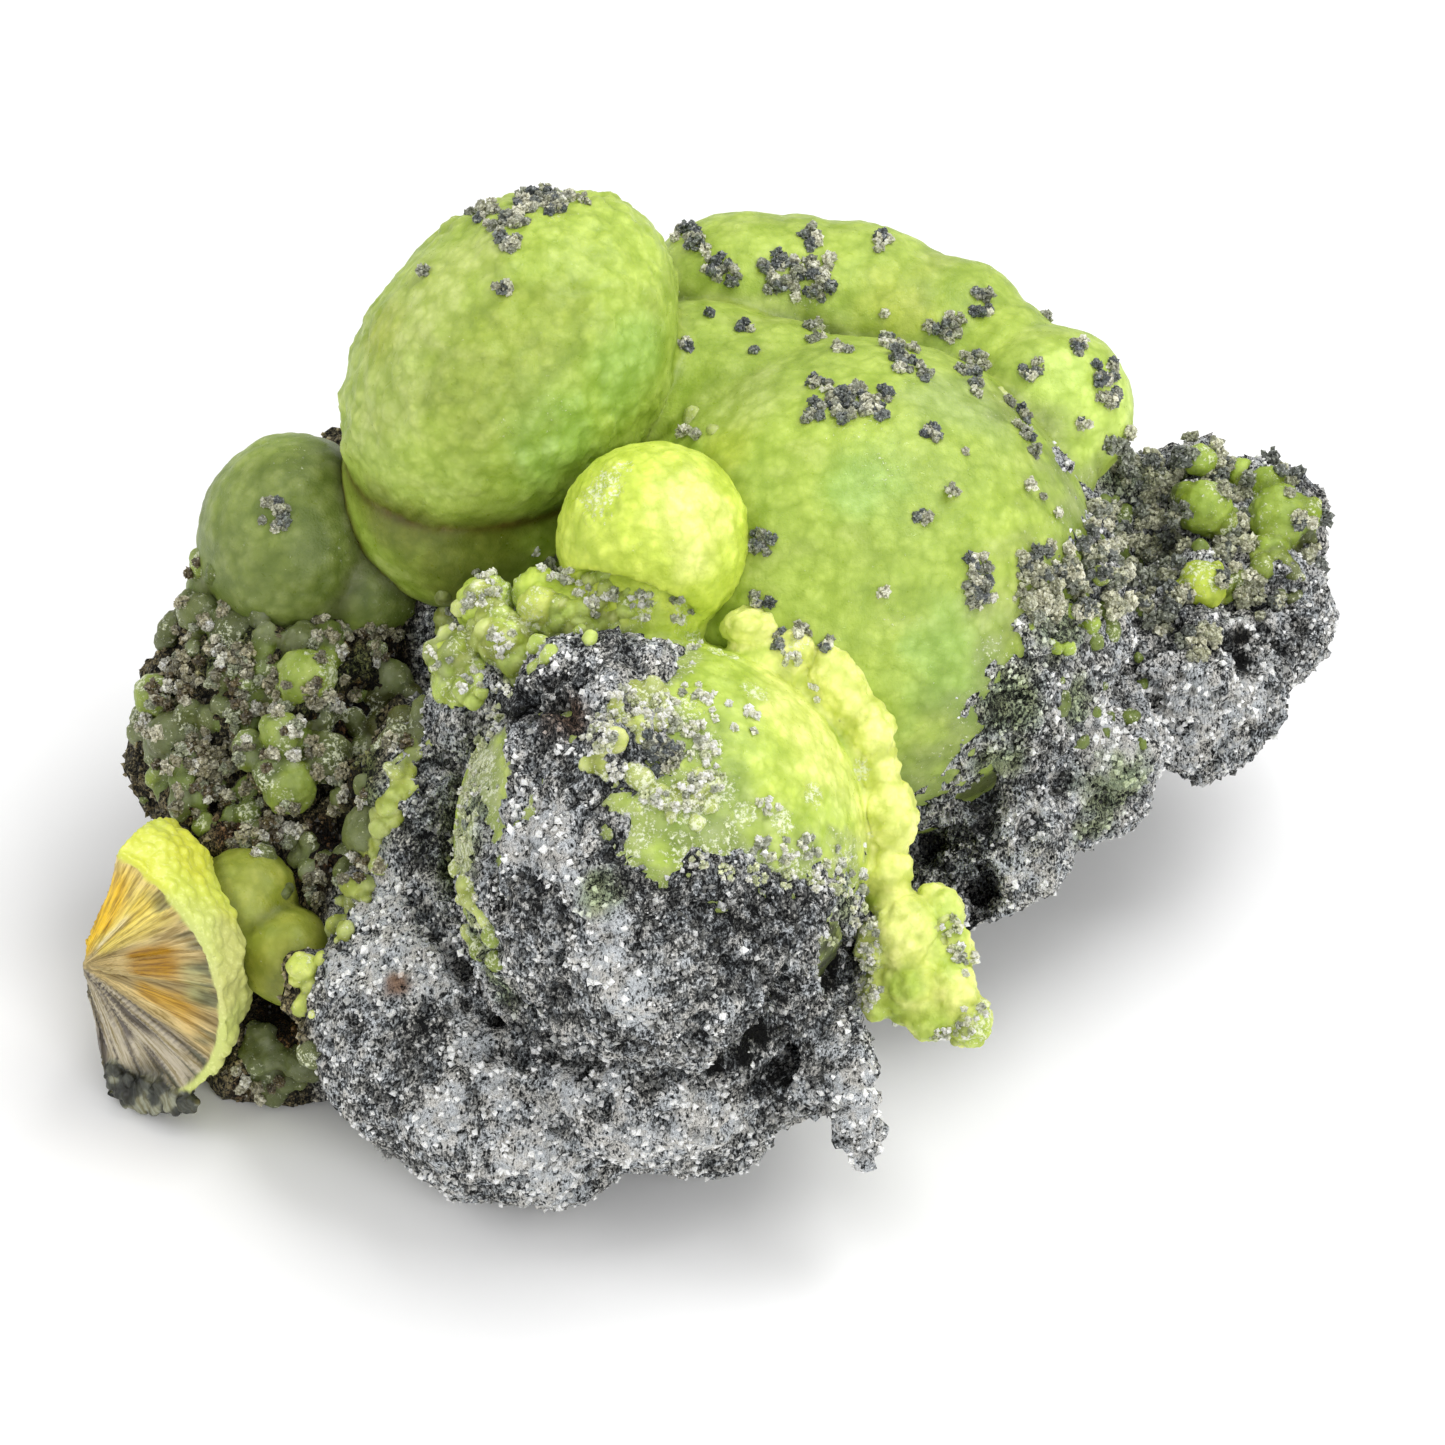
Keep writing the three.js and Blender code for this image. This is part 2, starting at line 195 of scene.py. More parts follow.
def domes(points, spacing, seed):
    """Rounded bumps about `spacing` mm apart: 1 on the top of each, 0 between them."""
    nearest = np.full(len(points), FAR)
    for _, offset in sites_near(points, spacing, seed):
        nearest = np.minimum(nearest, (offset**2).sum(1))
    return np.clip(1 - nearest / DOME_WIDTH**2, 0, 1)


def facets(points, spacing, seed):
    """Broken blocks about `spacing` mm across: a height of about -1 to 1, a tilted flat face for each."""
    nearest = np.full(len(points), FAR)
    height = np.zeros(len(points))
    for cells, offset in sites_near(points, spacing, seed):
        gap = (offset**2).sum(1)
        own = chance(cells, seed + 6) - 0.5 + 2 * (offset * (places_in(cells, seed + 3) - 0.5)).sum(1)
        height = np.where(gap < nearest, own, height)
        nearest = np.minimum(nearest, gap)
    return height


def ramp(values, low, high):
    """0 below `low`, 1 above `high`, and smooth between."""
    t = np.clip((values - low) / (high - low), 0, 1)
    return t * t * (3 - 2 * t)


# Meshes as points and triangles

_spheres = {}


def unit_sphere(level):
    if level not in _spheres:
        ball_mesh = bmesh.new()
        bmesh.ops.create_icosphere(ball_mesh, subdivisions=level, radius=1)
        points = np.array([v.co for v in ball_mesh.verts])
        faces = np.array([[v.index for v in f.verts] for f in ball_mesh.faces])
        ball_mesh.free()
        _spheres[level] = (points, faces)
    return _spheres[level]


def joined(parts):
    """Several (points, faces) as one."""
    starts = np.cumsum([0] + [len(points) for points, _ in parts])
    points = np.concatenate([points for points, _ in parts])
    faces = np.concatenate([faces + start for (_, faces), start in zip(parts, starts)])
    return points, faces


def ball(one, level=5):
    """A ball or ellipsoid from the lists above."""
    at, radii, turn = one
    unit, faces = unit_sphere(level)
    local = unit * radii
    c, s = math.cos(math.radians(turn)), math.sin(math.radians(turn))
    across = local[:, 0] * c - local[:, 1] * s
    up = local[:, 0] * s + local[:, 1] * c
    points = on_face(*at) + np.outer(across, ACROSS) + np.outer(up, UP) + np.outer(local[:, 2], OUT)
    return points, faces


def balls(ones, level=5):
    return [ball(one, level) for one in ones]


def depth_in(one, points):
    """How far outside a ball's surface points are, in mm, and less than 0 inside."""
    at, radii, turn = one
    offset = points - on_face(*at)
    x, y, z = offset @ ACROSS, offset @ UP, offset @ OUT
    c, s = math.cos(math.radians(turn)), math.sin(math.radians(turn))
    local = np.stack([x * c + y * s, -x * s + y * c, z], axis=1)
    return (np.linalg.norm(local / radii, axis=1) - 1) * min(radii)


def near(points, ones, inner, outer):
    """1 within `inner` mm of some balls, and 0 from `outer` mm away."""
    return 1 - ramp(np.min([depth_in(one, points) for one in ones], axis=0), inner, outer)


def crease(points, ones, reach):
    """1 in the creases where two balls meet, and 0 from `reach` mm away."""
    gaps = np.sort(np.stack([depth_in(one, points) for one in ones]), axis=0)
    return 1 - ramp(gaps[1], 0, reach)


def normals_of(points, faces):
    a, b, c = (points[faces[:, k]] for k in range(3))
    flat = np.cross(b - a, c - a)
    sums = [sum(np.bincount(faces[:, k], flat[:, axis], len(points)) for k in range(3)) for axis in range(3)]
    total = np.stack(sums, axis=1)
    return total / np.maximum(np.linalg.norm(total, axis=1), 1e-12)[:, None]


def raised(points, faces, height):
    return points + normals_of(points, faces) * np.asarray(height)[:, None]


def standing_out(points, faces, rounds=6):
    """How far each point of a closed mesh stands out of the surface round it, in mm: less than 0 in pits."""
    ends = np.concatenate([faces[:, [0, 1]], faces[:, [1, 2]], faces[:, [2, 0]]])
    count = np.bincount(ends[:, 0], minlength=len(points))[:, None]
    smooth = points
    for _ in range(rounds):
        sums = [np.bincount(ends[:, 0], smooth[ends[:, 1], axis], len(points)) for axis in range(3)]
        smooth = np.stack(sums, axis=1) / count
    return ((points - smooth) * normals_of(points, faces)).sum(1)


def new_mesh(name, points, faces):
    mesh = bpy.data.meshes.new(name)
    mesh.from_pydata(points, [], faces)
    mesh.update()
    return mesh


def with_modifiers(points, faces, modifiers, weight=None):
    """Points and triangles after some modifiers, each a (kind, settings)."""
    obj = bpy.data.objects.new("work", new_mesh("work", points, faces))
    bpy.context.scene.collection.objects.link(obj)
    if weight is not None:
        group = obj.vertex_groups.new(name="weight")
        steps = np.round(weight * 10).astype(int)
        for step in range(1, 11):
            group.add(np.flatnonzero(steps == step).tolist(), step / 10, "REPLACE")
    for kind, settings in modifiers:
        modifier = obj.modifiers.new(kind, kind)
        for key, value in settings.items():
            setattr(modifier, key, value)
    graph = bpy.context.evaluated_depsgraph_get()
    made = obj.evaluated_get(graph).to_mesh()
    made.calc_loop_triangles()
    points = np.empty(3 * len(made.vertices))
    made.vertices.foreach_get("co", points)
    faces = np.empty(3 * len(made.loop_triangles), np.int32)
    made.loop_triangles.foreach_get("vertices", faces)
    mesh = obj.data
    bpy.data.objects.remove(obj)
    bpy.data.meshes.remove(mesh)
    return points.reshape(-1, 3), faces.reshape(-1, 3)


def skin(parts, size, smoothing=0):
    """One closed skin round closed meshes that overlap, with faces about `size` mm wide."""
    modifiers = [("REMESH", {"mode": "VOXEL", "voxel_size": size})]
    if smoothing:
        modifiers.append(("SMOOTH", {"factor": 0.5, "iterations": smoothing}))
    return with_modifiers(*joined(parts), modifiers)


def thinned(points, faces, weight, most):
    """Fewer triangles, at most `most`, taken away first where the weight is 1 and never where it is 0."""
    if len(faces) <= most:
        return points, faces
    settings = {"ratio": most / len(faces), "vertex_group": "weight", "vertex_group_factor": 1.0}
    return with_modifiers(points, faces, [("DECIMATE", settings)], weight)


def tree_of(*parts):
    points, faces = joined(parts)
    return BVHTree.FromPolygons(points.tolist(), faces.tolist())


def gap_to(points, tree):
    """How far each point is from the surface of a tree's mesh, in mm."""
    return np.array([tree.find_nearest(point)[3] for point in points])


def buried(points, tree, depth):
    """1 for points more than `depth` mm inside the closed mesh of a tree, and 0 for the others."""
    found = np.zeros(len(points))
    for n, point in enumerate(points):
        place, normal, _, _ = tree.find_nearest(point)
        found[n] = (Vector(point) - place).dot(normal) < -depth
    return found


# Pieces

def piece(name, points, faces, finish, slot, replaces=(), smooth=True, **attributes):
    """A piece of the model, with its attributes: one number or one colour for each point."""
    above = np.concatenate([points[:, :2], np.maximum(points[:, 2:], 0)], axis=1)
    mesh = new_mesh(name, above * MM, faces)
    mesh.polygons.foreach_set("use_smooth", np.full(len(faces), smooth))
    for key, values in attributes.items():
        values = np.asarray(values, np.float32)
        if values.ndim == 1:
            mesh.attributes.new(key, "FLOAT", "POINT").data.foreach_set("value", values)
        else:
            colours = np.concatenate([values, np.ones((len(values), 1), np.float32)], axis=1)
            mesh.attributes.new(key, "FLOAT_COLOR", "POINT").data.foreach_set("color", colours.ravel())
    mesh.materials.append(finish)
    obj = bpy.data.objects.new(name, mesh)
    bpy.context.scene.collection.objects.link(obj)
    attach(obj, "root")
    if replaces:
        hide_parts(*replaces)
    return obj


COLOUR = 1  # the number of the colour among a texture's outputs


class Finish:
    """A material, built node by node: each call adds a node and returns its output."""

    def __init__(self, name):
        self.material = bpy.data.materials.new(name)
        self.material.use_nodes = True
        self.tree = self.material.node_tree
        self.shader = self.tree.nodes["Principled BSDF"]
        place = self.node("TexCoord", {}, {}, "Object")
        self.place = self.node("Mapping", {}, {"Vector": place, "Scale": (1 / MM, 1 / MM, 1 / MM)})

    def node(self, kind, settings, inputs, output=0):
        made = self.tree.nodes.new("ShaderNode" + kind)
        for key, value in settings.items():
            setattr(made, key, value)
        for key, value in inputs.items():
            self.put(made.inputs[key], value)
        return made.outputs[output]

    def put(self, socket, value):
        if isinstance(value, bpy.types.NodeSocket):
            self.tree.links.new(value, socket)
        else:
            socket.default_value = value

    def set(self, **inputs):
        """Inputs of the main shader, with _ for the spaces in their names."""
        for key, value in inputs.items():
            self.put(self.shader.inputs[key.replace("_", " ")], value)

    def soak(self, share, colour, depth):
        """Light that soaks in and comes out again, about `depth` mm away."""
        self.set(Subsurface_Weight=share, Subsurface_Radius=colour, Subsurface_Scale=depth * MM)

    def attribute(self, name, output="Fac"):
        return self.node("Attribute", {"attribute_name": name}, {}, output)

    def noise(self, size, detail=2.0, roughness=0.5, place=None, output=0):
        """Noise from 0 to 1, with swellings about `size` mm across."""
        inputs = {"Vector": place or self.place, "Scale": 1 / size, "Detail": detail, "Roughness": roughness}
        return self.node("TexNoise", {}, inputs, output)

    def cells(self, size, place=None, output=0):
        """How far it is to the middle of a cell about `size` mm across, or the cell's own shade."""
        return self.node("TexVoronoi", {}, {"Vector": place or self.place, "Scale": 1 / size}, output)

    def stretched(self, turn, scale):
        return self.node("Mapping", {}, {"Vector": self.place, "Rotation": turn, "Scale": scale})

    def level(self, value, low, high, to_low=0.0, to_high=1.0):
        """A value from low to high, as one from to_low to to_high."""
        inputs = {0: value, 1: low, 2: high, 3: to_low, 4: to_high}
        return self.node("MapRange", {"interpolation_type": "SMOOTHSTEP"}, inputs)

    def maths(self, operation, first, second):
        return self.node("Math", {"operation": operation}, {0: first, 1: second})

    def total(self, first, *others):
        for other in others:
            first = self.maths("ADD", first, other)
        return first

    def centred(self, value, strength, middle=0.5):
        """Noise about its middle, made stronger."""
        return self.maths("MULTIPLY", self.maths("SUBTRACT", value, middle), strength)

    def mix(self, factor, first, second, blend="MIX"):
        settings = {"data_type": "RGBA", "blend_type": blend}
        return self.node("Mix", settings, {0: factor, 6: first, 7: second}, 2)

    def shaded(self, colour, value, low, high, first, second):
        """A colour times one that goes from the first to the second while a value goes from low to high."""
        shade = self.mix(self.level(value, low, high), screen(*first), screen(*second))
        return self.mix(1.0, colour, shade, "MULTIPLY")

    def bump(self, height, strength, depth, normal=None):
        """Relief `depth` mm deep."""
        inputs = {"Height": height, "Strength": strength, "Distance": depth * MM}
        if normal is not None:
            inputs["Normal"] = normal
        return self.node("Bump", {}, inputs)


# Finishes

def crystal_finish(name):
    """Waxy green crystal, tinted by the points' colours: pebbles with painted light on their pale tops and
    painted shade between them, and white sugary specks.
    """
    finish = Finish(name)
    bend = {0: finish.noise(0.7, output=COLOUR), 1: (0.6, 0.6, 0.6), 2: finish.place}
    bent = finish.node("VectorMath", {"operation": "MULTIPLY_ADD"}, bend)
    pebble = finish.cells(0.5, bent)
    mottle = finish.noise(1.6, 4.0, 0.65)
    knob = finish.total(finish.cells(1.15, bent), finish.centred(mottle, 0.8))
    tint = finish.attribute("tint", "Color")
    # Painted light and shade of the relief: paler on the tops of the pebbles and knobs, darker between them
    colour = finish.shaded(tint, pebble, 0.1, 0.8, (255, 255, 252), (234, 239, 214))
    colour = finish.shaded(colour, knob, 0.25, 0.85, (255, 255, 254), (222, 228, 190))
    colour = finish.shaded(colour, mottle, 0.3, 0.7, (238, 241, 218), (255, 255, 252))
    drive = finish.total(
        finish.noise(0.24, 4.0, 0.75), finish.centred(finish.cells(0.1, output=COLOUR), 0.12),
        finish.maths("MULTIPLY", finish.attribute("frost"), 0.24), finish.centred(mottle, 0.3),
    )
    colour = finish.mix(finish.level(drive, 0.7, 0.82, 0.0, 0.75), colour, screen(238, 242, 212))
    glint = finish.level(finish.noise(0.3, 1.0), 0.66, 0.74)
    relief = finish.bump(knob, -0.7, 0.24)
    relief = finish.bump(pebble, -0.45, 0.08, relief)
    relief = finish.bump(finish.noise(0.16, 3.0, 0.6), 0.6, 0.07, relief)
    relief = finish.bump(finish.level(drive, 0.65, 0.82), 0.5, 0.06, relief)
    finish.set(Base_Color=colour, Roughness=finish.level(glint, 0.0, 1.0, 0.45, 0.15), Normal=relief)
    finish.set(Specular_IOR_Level=0.45)
    finish.soak(0.35, (1.0, 1.0, 0.3), 0.8)
    return finish.material


def rock_finish():
    """Porous grey rock: crossed pale fibres over dark gaps."""
    finish = Finish("porous_rock")
    tone = finish.attribute("tone")
    crossed = None
    for turn in ((0.4, 0.2, 0.0), (1.5, 0.3, 0.7), (0.9, 1.3, 0.2)):
        fibres = finish.noise(0.13, 1.0, place=finish.stretched(turn, (1.0, 1.0, 0.34)))
        crossed = fibres if crossed is None else finish.maths("MAXIMUM", crossed, fibres)
    light = finish.total(
        finish.centred(crossed, 9.0, 0.6),
        finish.centred(finish.cells(0.14, output=COLOUR), 3.2),
        finish.centred(finish.noise(0.45, 4.0, 0.7), 5.6),
        finish.centred(finish.noise(2.4, 3.0, 0.6), 2.6),
        finish.level(finish.cells(0.33, output=COLOUR), 0.85, 0.89, 0.0, 1.4),
    )
    in_gaps = finish.total(light, finish.maths("MINIMUM", tone, finish.maths("MULTIPLY", tone, 0.4)))
    dark = finish.mix(finish.level(in_gaps, -1.7, 0.6), screen(22, 24, 26), screen(140, 142, 142))
    light = finish.total(light, finish.maths("MINIMUM", tone, 2.2))
    grey = finish.mix(finish.level(light, 0.0, 2.3), dark, screen(255, 255, 254))
    colour = finish.mix(1.0, grey, finish.attribute("tint", "Color"), "MULTIPLY")
    colour = finish.shaded(colour, finish.noise(1.1, 3.0, 0.6), 0.36, 0.64, (243, 248, 253), (255, 252, 246))
    finish.set(Base_Color=colour, Roughness=0.8, Normal=finish.bump(light, 1.0, 0.1), Specular_IOR_Level=0.3)
    return finish.material


def grain_finish(name, salt, shadow=(160, 156, 140)):
    """Small glassy grains, each of its own shade, with a share of pale salt on them."""
    finish = Finish(name)
    speck = finish.noise(0.14, 2.0, 0.6)
    colour = finish.shaded(finish.attribute("tint", "Color"), speck, 0.3, 0.62, shadow, (255, 255, 252))
    colour = finish.mix(finish.level(speck, 0.58, 0.7, 0.0, salt), colour, screen(236, 236, 222))
    finish.set(Base_Color=colour, Roughness=0.38, Specular_IOR_Level=0.5)
    finish.set(Normal=finish.bump(speck, 0.6, 0.06))
    finish.soak(0.3, (1.0, 1.0, 0.8), 0.5)
    return finish.material


def fan_finish():
    """Silky needles that spread from one point, and the green skin that they end in."""
    finish = Finish("radiating_needles")
    tint = finish.attribute("tint", "Color")
    fan = finish.attribute("fan")
    needles = finish.noise(1.0, 3.0, 0.65, finish.attribute("polar", "Vector"))
    silk = finish.shaded(tint, needles, 0.32, 0.62, (176, 166, 122), (255, 255, 248))
    silk = finish.mix(finish.level(needles, 0.62, 0.74, 0.0, 0.12), silk, screen(244, 236, 206))
    speck = finish.noise(0.2, 3.0)
    frost = finish.mix(finish.level(speck, 0.5, 0.72, 0.0, 0.4), tint, screen(244, 246, 170))
    fibres = finish.bump(finish.maths("MULTIPLY", needles, fan), 0.8, 0.1)
    finish.set(Base_Color=finish.mix(fan, frost, silk), Roughness=0.42, Specular_IOR_Level=0.5)
    finish.set(Normal=finish.bump(speck, 0.3, 0.05, fibres))
    finish.soak(0.15, (1.0, 0.95, 0.4), 0.6)
    return finish.material


# The photograph's rays

def ray_through(x, y):
    """The direction from the camera through a pixel of the photograph."""
    across = (x - PHOTO_SIDE / 2) / PIXELS_PER_MM
    up = (PHOTO_SIDE / 2 - y) / PIXELS_PER_MM
    direction = across * ACROSS + up * UP - CAMERA_DISTANCE * OUT
    return direction / np.linalg.norm(direction)


def seen_at(tree, x, y):
    """The place and normal that a pixel of the photograph shows, or None past the edge of the specimen."""
    place, normal, _, _ = tree.ray_cast(CAMERA_PLACE, ray_through(x, y))
    return None if place is None else (np.array(place), np.array(normal))


def patch(points, tree, spots, ragged=1.6):
    """1 round the places that the photograph shows at (x, y), out to a radius in mm, with an uneven edge."""
    found = np.zeros(len(points))
    wander = rough(points, ragged, 90)
    for x, y, radius in spots:
        seen = seen_at(tree, x, y)
        if seen is not None:
            gap = np.linalg.norm(points - seen[0], axis=1) / radius + 0.35 * wander
            found = np.maximum(found, 1 - ramp(gap, 0.5, 1.5))
    return found


def painted(colour, *layers):
    """A colour for each point, turned toward others in turn by layers of (mask, other colour)."""
    for mask, other in layers:
        colour = colour * (1 - mask[:, None]) + np.asarray(other) * mask[:, None]
    return colour


def spots_on(points, *rows):
    """Layers of paint at places of the photograph, from rows of (share, colour, spots)."""
    return [(share * patch(points, everything, spots), colour) for share, colour, spots in rows]


def across_and_up(points):
    """Where points are on the leaning face, in mm."""
    return points @ ACROSS, (points - FACE_MIDDLE) @ UP


def solid(name):
    """A solid of the frame as points in mm and triangles."""
    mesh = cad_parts[name].data
    mesh.calc_loop_triangles()
    points = np.array([v.co for v in mesh.vertices]) / MM
    return points, np.array([t.vertices[:] for t in mesh.loop_triangles])


solids_tree = tree_of(*(solid(name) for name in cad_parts))
ALL_BALLS = MAIN_BALLS + LEFT_BALLS + FRONT_BALLS + [BUD] + LOW_BALLS + [BROKEN_BALL]


def in_balls(points, depth):
    """Whether points are more than `depth` mm inside any ball."""
    return np.any([depth_in(one, points) < -depth for one in ALL_BALLS], axis=0)


# The rock

CRUST = [  # where rock lies over crystal: (x, y) in the photograph's pixels, and the radius and height in mm
    (540, 705, 1.5, 1.3), (556, 728, 1.3, 1.0), (572, 702, 1.5, 1.3), (605, 700, 1.5, 1.2),
    (630, 690, 1.3, 1.1), (655, 672, 1.2, 0.9), (596, 900, 1.2, 0.5), (606, 930, 1.2, 0.5),
    (614, 960, 1.2, 0.5), (622, 995, 1.1, 0.4), (572, 840, 1.6, 0.4), (850, 1130, 1.2, 0.4),
    (838, 1085, 1.4, 0.4), (845, 1050, 1.4, 0.4), (530, 745, 1.4, 0.9), (522, 800, 1.3, 0.8),
    (516, 850, 1.3, 0.8), (520, 900, 1.4, 0.7), (600, 740, 1.4, 0.7),
]
PITS = [  # shallow hollows, in the same way
    (558, 1125, 0.5, 0.7), (468, 872, 1.0, 1.0), (463, 905, 1.0, 1.1), (474, 945, 0.9, 1.0),
    (700, 1020, 0.8, 1.0), (960, 850, 1.5, 1.5), (985, 800, 1.2, 1.2), (1000, 880, 1.0, 1.1),
    (1255, 650, 1.5, 1.0), (1215, 640, 1.1, 0.9), (690, 1045, 1.2, 1.0), (640, 1045, 0.9, 0.8),
    (480, 960, 0.8, 0.8), (430, 1010, 0.6, 0.6), (1060, 790, 1.0, 1.0), (1110, 800, 0.9, 0.9),
    (1300, 600, 0.9, 0.8), (567, 715, 0.7, 0.9), (1062, 455, 1.6, 1.3), (1078, 490, 1.4, 1.2),
    (1150, 700, 0.9, 0.8), (560, 960, 0.8, 0.8), (1030, 830, 0.9, 1.0), (370, 1000, 0.6, 0.6),
    (520, 1060, 0.7, 0.7), (660, 1120, 0.6, 0.7), (1180, 730, 0.7, 0.7), (330, 830, 1.4, 1.0),
    (290, 830, 1.0, 0.9), (360, 700, 1.2, 0.9),
]
FURROW = [  # the furrow between the rock plate and the knob, cut in and painted dark as shade, in the same way
    (414, 898, 0.6, 0.8), (424, 914, 0.6, 0.9), (434, 930, 0.7, 1.0), (444, 946, 0.7, 1.1),
    (454, 961, 0.7, 1.1), (468, 973, 0.7, 1.1), (484, 984, 0.7, 1.1), (500, 994, 0.7, 1.1),
    (516, 1004, 0.6, 1.0), (530, 1014, 0.5, 0.7),
]
HOLLOWS = [  # deep hollows, cut in and painted black as their shadow, in the same way
    (735, 1056, 1.4, 2.4), (752, 1040, 1.6, 2.8), (770, 1064, 1.2, 2.0), (783, 1080, 0.8, 1.2),
    (716, 1070, 0.7, 1.0), (783, 996, 0.9, 1.8), (799, 988, 1.2, 2.4), (808, 976, 1.2, 2.6),
    (830, 965, 1.2, 2.6), (828, 945, 1.0, 0.8), (495, 1052, 0.5, 0.8), (820, 974, 1.4, 2.8),
    (838, 984, 1.2, 2.6), (845, 958, 1.1, 2.4), (842, 932, 0.8, 1.8), (603, 1107, 0.7, 1.2),
    (627, 1051, 0.5, 0.9), (643, 1047, 0.6, 1.0), (582, 1052, 0.5, 0.8), (583, 1072, 0.5, 0.8),
    (697, 1134, 0.5, 0.7), (664, 1129, 0.3, 0.4), (612, 938, 0.4, 0.4), (910, 852, 1.2, 2.4),
    (935, 852, 0.9, 1.8), (980, 868, 1.0, 2.0), (976, 896, 1.1, 2.2), (968, 914, 0.6, 1.2),
    (978, 800, 0.7, 1.3), (984, 828, 0.7, 1.4), (1248, 650, 1.2, 1.6), (1222, 642, 0.8, 1.1),
    (448, 1012, 0.5, 0.7), (355, 1022, 0.35, 0.5), (500, 1020, 0.6, 0.8),
]


def lifted(points, spots):
    """How far spots of the photograph, each with a radius and a height in mm, lift the points near them."""
    total = np.zeros(len(points))
    wander = 0.5 * rough(points, 1.2, 91, 2)
    for x, y, radius, height in spots:
        seen = seen_at(solids_tree, x, y)
        if seen is not None:
            gap = np.linalg.norm(points - seen[0], axis=1) / radius + wander
            total = np.maximum(total, height * (1 - ramp(gap, 0.45, 1.15)))
    return total


def in_hollows(points):
    """1 in the deep hollows and 0 out of them."""
    return np.clip(lifted(points, HOLLOWS) / 0.5, 0, 1)


def rock_shape():
    width, most = FINENESS["rock"]
    points, faces = skin([solid("matrix")], width, smoothing=6)
    bent = points + 0.5 * noise_steps(points, 1.5, 35)
    across, up = across_and_up(points)
    plate = ramp(depth_in(FRONT_BALLS[0], points), 1, 2.5) * ramp(-up, 4, 8) * ramp(3 - across, 0, 3)
    blocks = 0.42 * facets(bent, 2.8, 12) + 0.26 * facets(bent, 1.3, 22) + 0.15 * facets(points, 0.6, 32)
    lumps = 0.26 * rough(points, 3.6, 11, 2)
    lumps, blocks = lumps * (1 - 0.3 * plate), blocks * (1 - 0.5 * plate)
    crumbs = 0.14 * noise(points, 0.7, 41) + 0.16 * (chance(np.floor(points / 0.4), 43) - 0.5)
    holes = 0.7 * ramp(noise(bent, 1.1, 51), 0.62, 0.9) + 0.6 * ramp(noise(bent, 0.7, 52), 0.66, 0.9)
    placed = lifted(points, CRUST) - np.maximum(lifted(points, PITS + FURROW), lifted(points, HOLLOWS))
    points = raised(points, faces, 0.12 + lumps + blocks + crumbs - holes + placed)
    points[:, 2] = np.maximum(points[:, 2], 0)
    facing = normals_of(points, faces) @ OUT
    hidden = (points[:, 2] < 0.01) | in_balls(points, 0.8)
    weight = np.where(hidden, 1.0, 0.5 * ramp(-facing, 0.0, 0.5))
    return thinned(points, faces, weight, most)


# The green crystal: each shape comes with how near its points are to the tops of the bumps on it

def under_rock(points, depth=0.9):
    """1 where both the finished rock and its solid lie over the points, and 0 elsewhere."""
    return buried(points, rock_tree, depth) * buried(points, matrix_tree, 0.6 * depth)


def main_shape():
    width, most = FINENESS["main"]
    points, faces = skin(balls(MAIN_BALLS + FILLS, 6), width, smoothing=5)
    points, faces = thinned(points, faces, under_rock(points), most)
    wavy = points + 0.25 * noise_steps(points, 1.0, 60)
    bumpy = 0.25 + 0.75 * near(points, MAIN_BALLS[:1], 0.1, 0.6) * ramp(noise(points, 4, 65) + 0.3, -0.4, 0.5)
    tops = 0.4 * domes(wavy, 1.9, 75) + 0.35 * domes(wavy, 1.1, 61) + 0.25 * domes(wavy, 0.65, 71)
    relief = 0.54 * bumpy * tops + 0.2 * rough(points, 4.5, 81, 2) + 0.03 * noise(points, 0.5, 83)
    return raised(points, faces, relief), faces, bumpy * tops


def bud_shape():
    """The bud without its flake: from its middle outward, it ends where either ball's surface comes first."""
    points, faces = ball(BUD, 6)
    middle = on_face(*BUD[0])
    flake = on_face(*BUD_FLAKE[0])
    direction = (points - middle) / BUD[1][0]
    along = direction @ (flake - middle)
    inside = BUD_FLAKE[1][0] ** 2 - ((flake - middle) ** 2).sum() + along**2
    meets = (inside > 0) & (along > 0)
    reach = np.where(meets, along - np.sqrt(np.maximum(inside, 0)), BUD[1][0])
    return middle + direction * np.minimum(reach, BUD[1][0])[:, None], faces


FROST_AREAS = [  # where grit crusts the front ball: (x, y) in the photograph's pixels, and the radius in mm
    (640, 712, 1.2), (680, 715, 1.2), (710, 745, 1.0), (716, 785, 1.1), (684, 806, 1.1), (642, 800, 0.9),
    (690, 858, 1.2), (735, 874, 1.2), (790, 876, 1.2), (840, 872, 1.2), (866, 905, 1.2), (780, 826, 0.8),
    (812, 796, 0.7), (745, 815, 0.8), (722, 655, 1.0), (752, 690, 0.9), (690, 640, 0.9), (771, 662, 0.8),
    (866, 940, 1.4), (870, 990, 1.3), (952, 935, 1.4), (975, 1035, 1.0), (935, 1042, 1.2), (900, 1035, 1.0),
    (985, 1010, 0.8), (640, 610, 1.0), (590, 600, 1.0), (680, 615, 1.0), (860, 770, 0.6), (870, 830, 0.6),
    (800, 640, 0.6), (470, 640, 2.0), (450, 600, 1.2), (505, 590, 1.4), (480, 880, 1.2), (600, 490, 1.6),
]


def front_shape():
    width, most = FINENESS["front"]
    parts = [bud_shape(), *balls(FRONT_BALLS, 6), *balls(EDGE_BEADS + EDGE_FILLS + LEDGE_BEADS, 4)]
    points, faces = skin(parts, width, smoothing=3)
    points, faces = thinned(points, faces, under_rock(points), most)
    chain = near(points, EDGE_BEADS + LEDGE_BEADS, 0.1, 0.5)
    tops = 0.5 * domes(points, 0.95, 63) + 0.5 * domes(points, 0.5, 62)
    relief = (0.12 + 0.15 * chain) * tops + (0.1 + 0.16 * chain) * rough(points, 1.9, 64, 3)
    frost = patch(points, solids_tree, FROST_AREAS)
    relief += frost * 0.22 * (domes(points, 0.42, 66) - 0.4)
    return raised(points, faces, relief), faces, tops, frost


